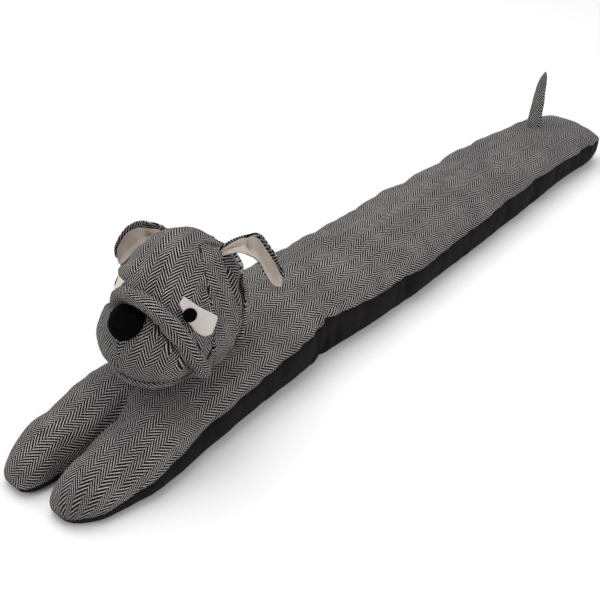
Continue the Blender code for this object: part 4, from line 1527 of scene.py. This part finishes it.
def sunk_on(surfaces, points):
    """Points moved onto the outermost cloth, as seen from the head's heart, and a little in."""
    landed = []
    for point in points:
        ray = (point - head_heart).normalized()
        reach = outermost(surfaces, ray, 0.0)
        if reach > 0:
            landed.append(head_heart + ray * (reach - THREAD_SINK))
    return landed


# The thread that gathers the muzzle under the roll, and the one down its middle seam.
muzzle_surfaces = cloth_surfaces(muzzle_halves)
under_roll = []
for i, point in enumerate(roll_line[2:-2]):
    way = Vector(drawn_way(np.array([point]))[0])
    run = (roll_line[i + 3] - roll_line[i + 1]).normalized()
    down = (way - way.dot(run) * run).normalized()
    radius = UNDER_ROLL * row_value([(row[1], row[3]) for row in ROLL[::-1]], 1, -abs(point.y))
    under_roll.append(HEAD @ (point + radius * down))
middle_seam = []
for turn in (math.radians(12 - 4 * i) for i in range(14)):
    ahead = Vector((-math.cos(turn), 0.0, math.sin(turn)))
    middle_seam.append(HEAD @ (Vector(MUZZLE_CENTRE) + SEAM_GUIDE * ahead))
sew("muzzle_stitches", [sunk_on(muzzle_surfaces, under_roll),
                        sunk_on(muzzle_surfaces, middle_seam)],
    MUZZLE_SPACING, MUZZLE_STITCH)

# ---------------------------------------------------------------------------
# Loose fibres: short pale hairs of the tweed's woollen yarn that stand out of the
# cloth all over the cushion's top and the head.
# ---------------------------------------------------------------------------
CUSHION_HAIRS = 70000    # on each square metre of cloth
HEAD_HAIRS = 110000
HAIR_LENGTH = 0.0028
HAIR_WIDTH = 0.00012
HAIR_LEAN = 1.15         # radians from upright
DULL_HAIR = (0.06, 0.055, 0.055)
PALE_HAIR = (0.52, 0.49, 0.47)


def make_hair():
    material, shader, _, solid = cloth_material("loose_wool", 0.0)
    tone = solid.speckle(0.010, 1.0)
    colour = tone.step(0.40, 0.62).blend(DULL_HAIR, PALE_HAIR)
    connect(shader, colour, 0.85 + 0.1 * tone, tone, 0.00005)
    return material


# Hairs scattered over a cloth, each a thin cone at a random lean, from fixed seeds.
wool = make_hair()
hair_tree, hair_inputs = node_tree(
    "loose_fibres",
    {"Cloth": "Geometry", "Hairs per area": "Float", "Hair length": "Float",
     "Hair width": "Float", "Lean": "Vector", "Lean back": "Vector", "Seed": "Int",
     "Wool": "Material"},
    "Hairs",
    {"scatter": ("GeometryNodeDistributePointsOnFaces", {}, {}),
     "hair": ("GeometryNodeMeshCone", {}, {"Vertices": 3}),
     "place": ("GeometryNodeInstanceOnPoints", {}, {}),
     "size": ("FunctionNodeRandomValue", {}, {2: 0.45}),
     "lean": ("FunctionNodeRandomValue", {"data_type": "FLOAT_VECTOR"}, {}),
     "turn": ("GeometryNodeRotateInstances", {}, {})},
    (("start.Cloth", "scatter.Mesh"), ("start.Hairs per area", "scatter.Density"),
     ("start.Seed", "scatter.Seed"), ("start.Hair length", "hair.Depth"),
     ("start.Hair width", "hair.Radius Bottom"), ("scatter.Points", "place.Points"),
     ("scatter.Rotation", "place.Rotation"), ("hair.Mesh", "place.Instance"),
     ("start.Seed", "size.Seed"), ("size.1", "place.Scale"),
     ("start.Lean back", "lean.0"), ("start.Lean", "lean.1"), ("start.Seed", "lean.Seed"),
     ("place.Instances", "turn.Instances"), ("lean.0", "turn.Rotation"),
     ("turn.Instances", "real.Geometry")))


def grow_hairs(name, clothes, density, seed):
    """Hairs on some pieces of tweed."""
    field = bmesh.new()
    for cloth in clothes:
        field.from_mesh(cloth.data)
    data = bpy.data.meshes.new(name)
    field.to_mesh(data)
    field.free()
    grow(name, data, hair_tree, hair_inputs,
         {"Hairs per area": float(density), "Hair length": HAIR_LENGTH,
          "Hair width": 0.5 * HAIR_WIDTH, "Lean": (HAIR_LEAN, HAIR_LEAN, math.pi),
          "Lean back": (-HAIR_LEAN, -HAIR_LEAN, -math.pi), "Seed": seed, "Wool": wool})
    bpy.data.meshes.remove(data)


grow_hairs("cushion_hairs", [cushion_top], CUSHION_HAIRS, 7)
grow_hairs("head_hairs", head_panels + muzzle_halves + [roll, lip], HEAD_HAIRS, 8)
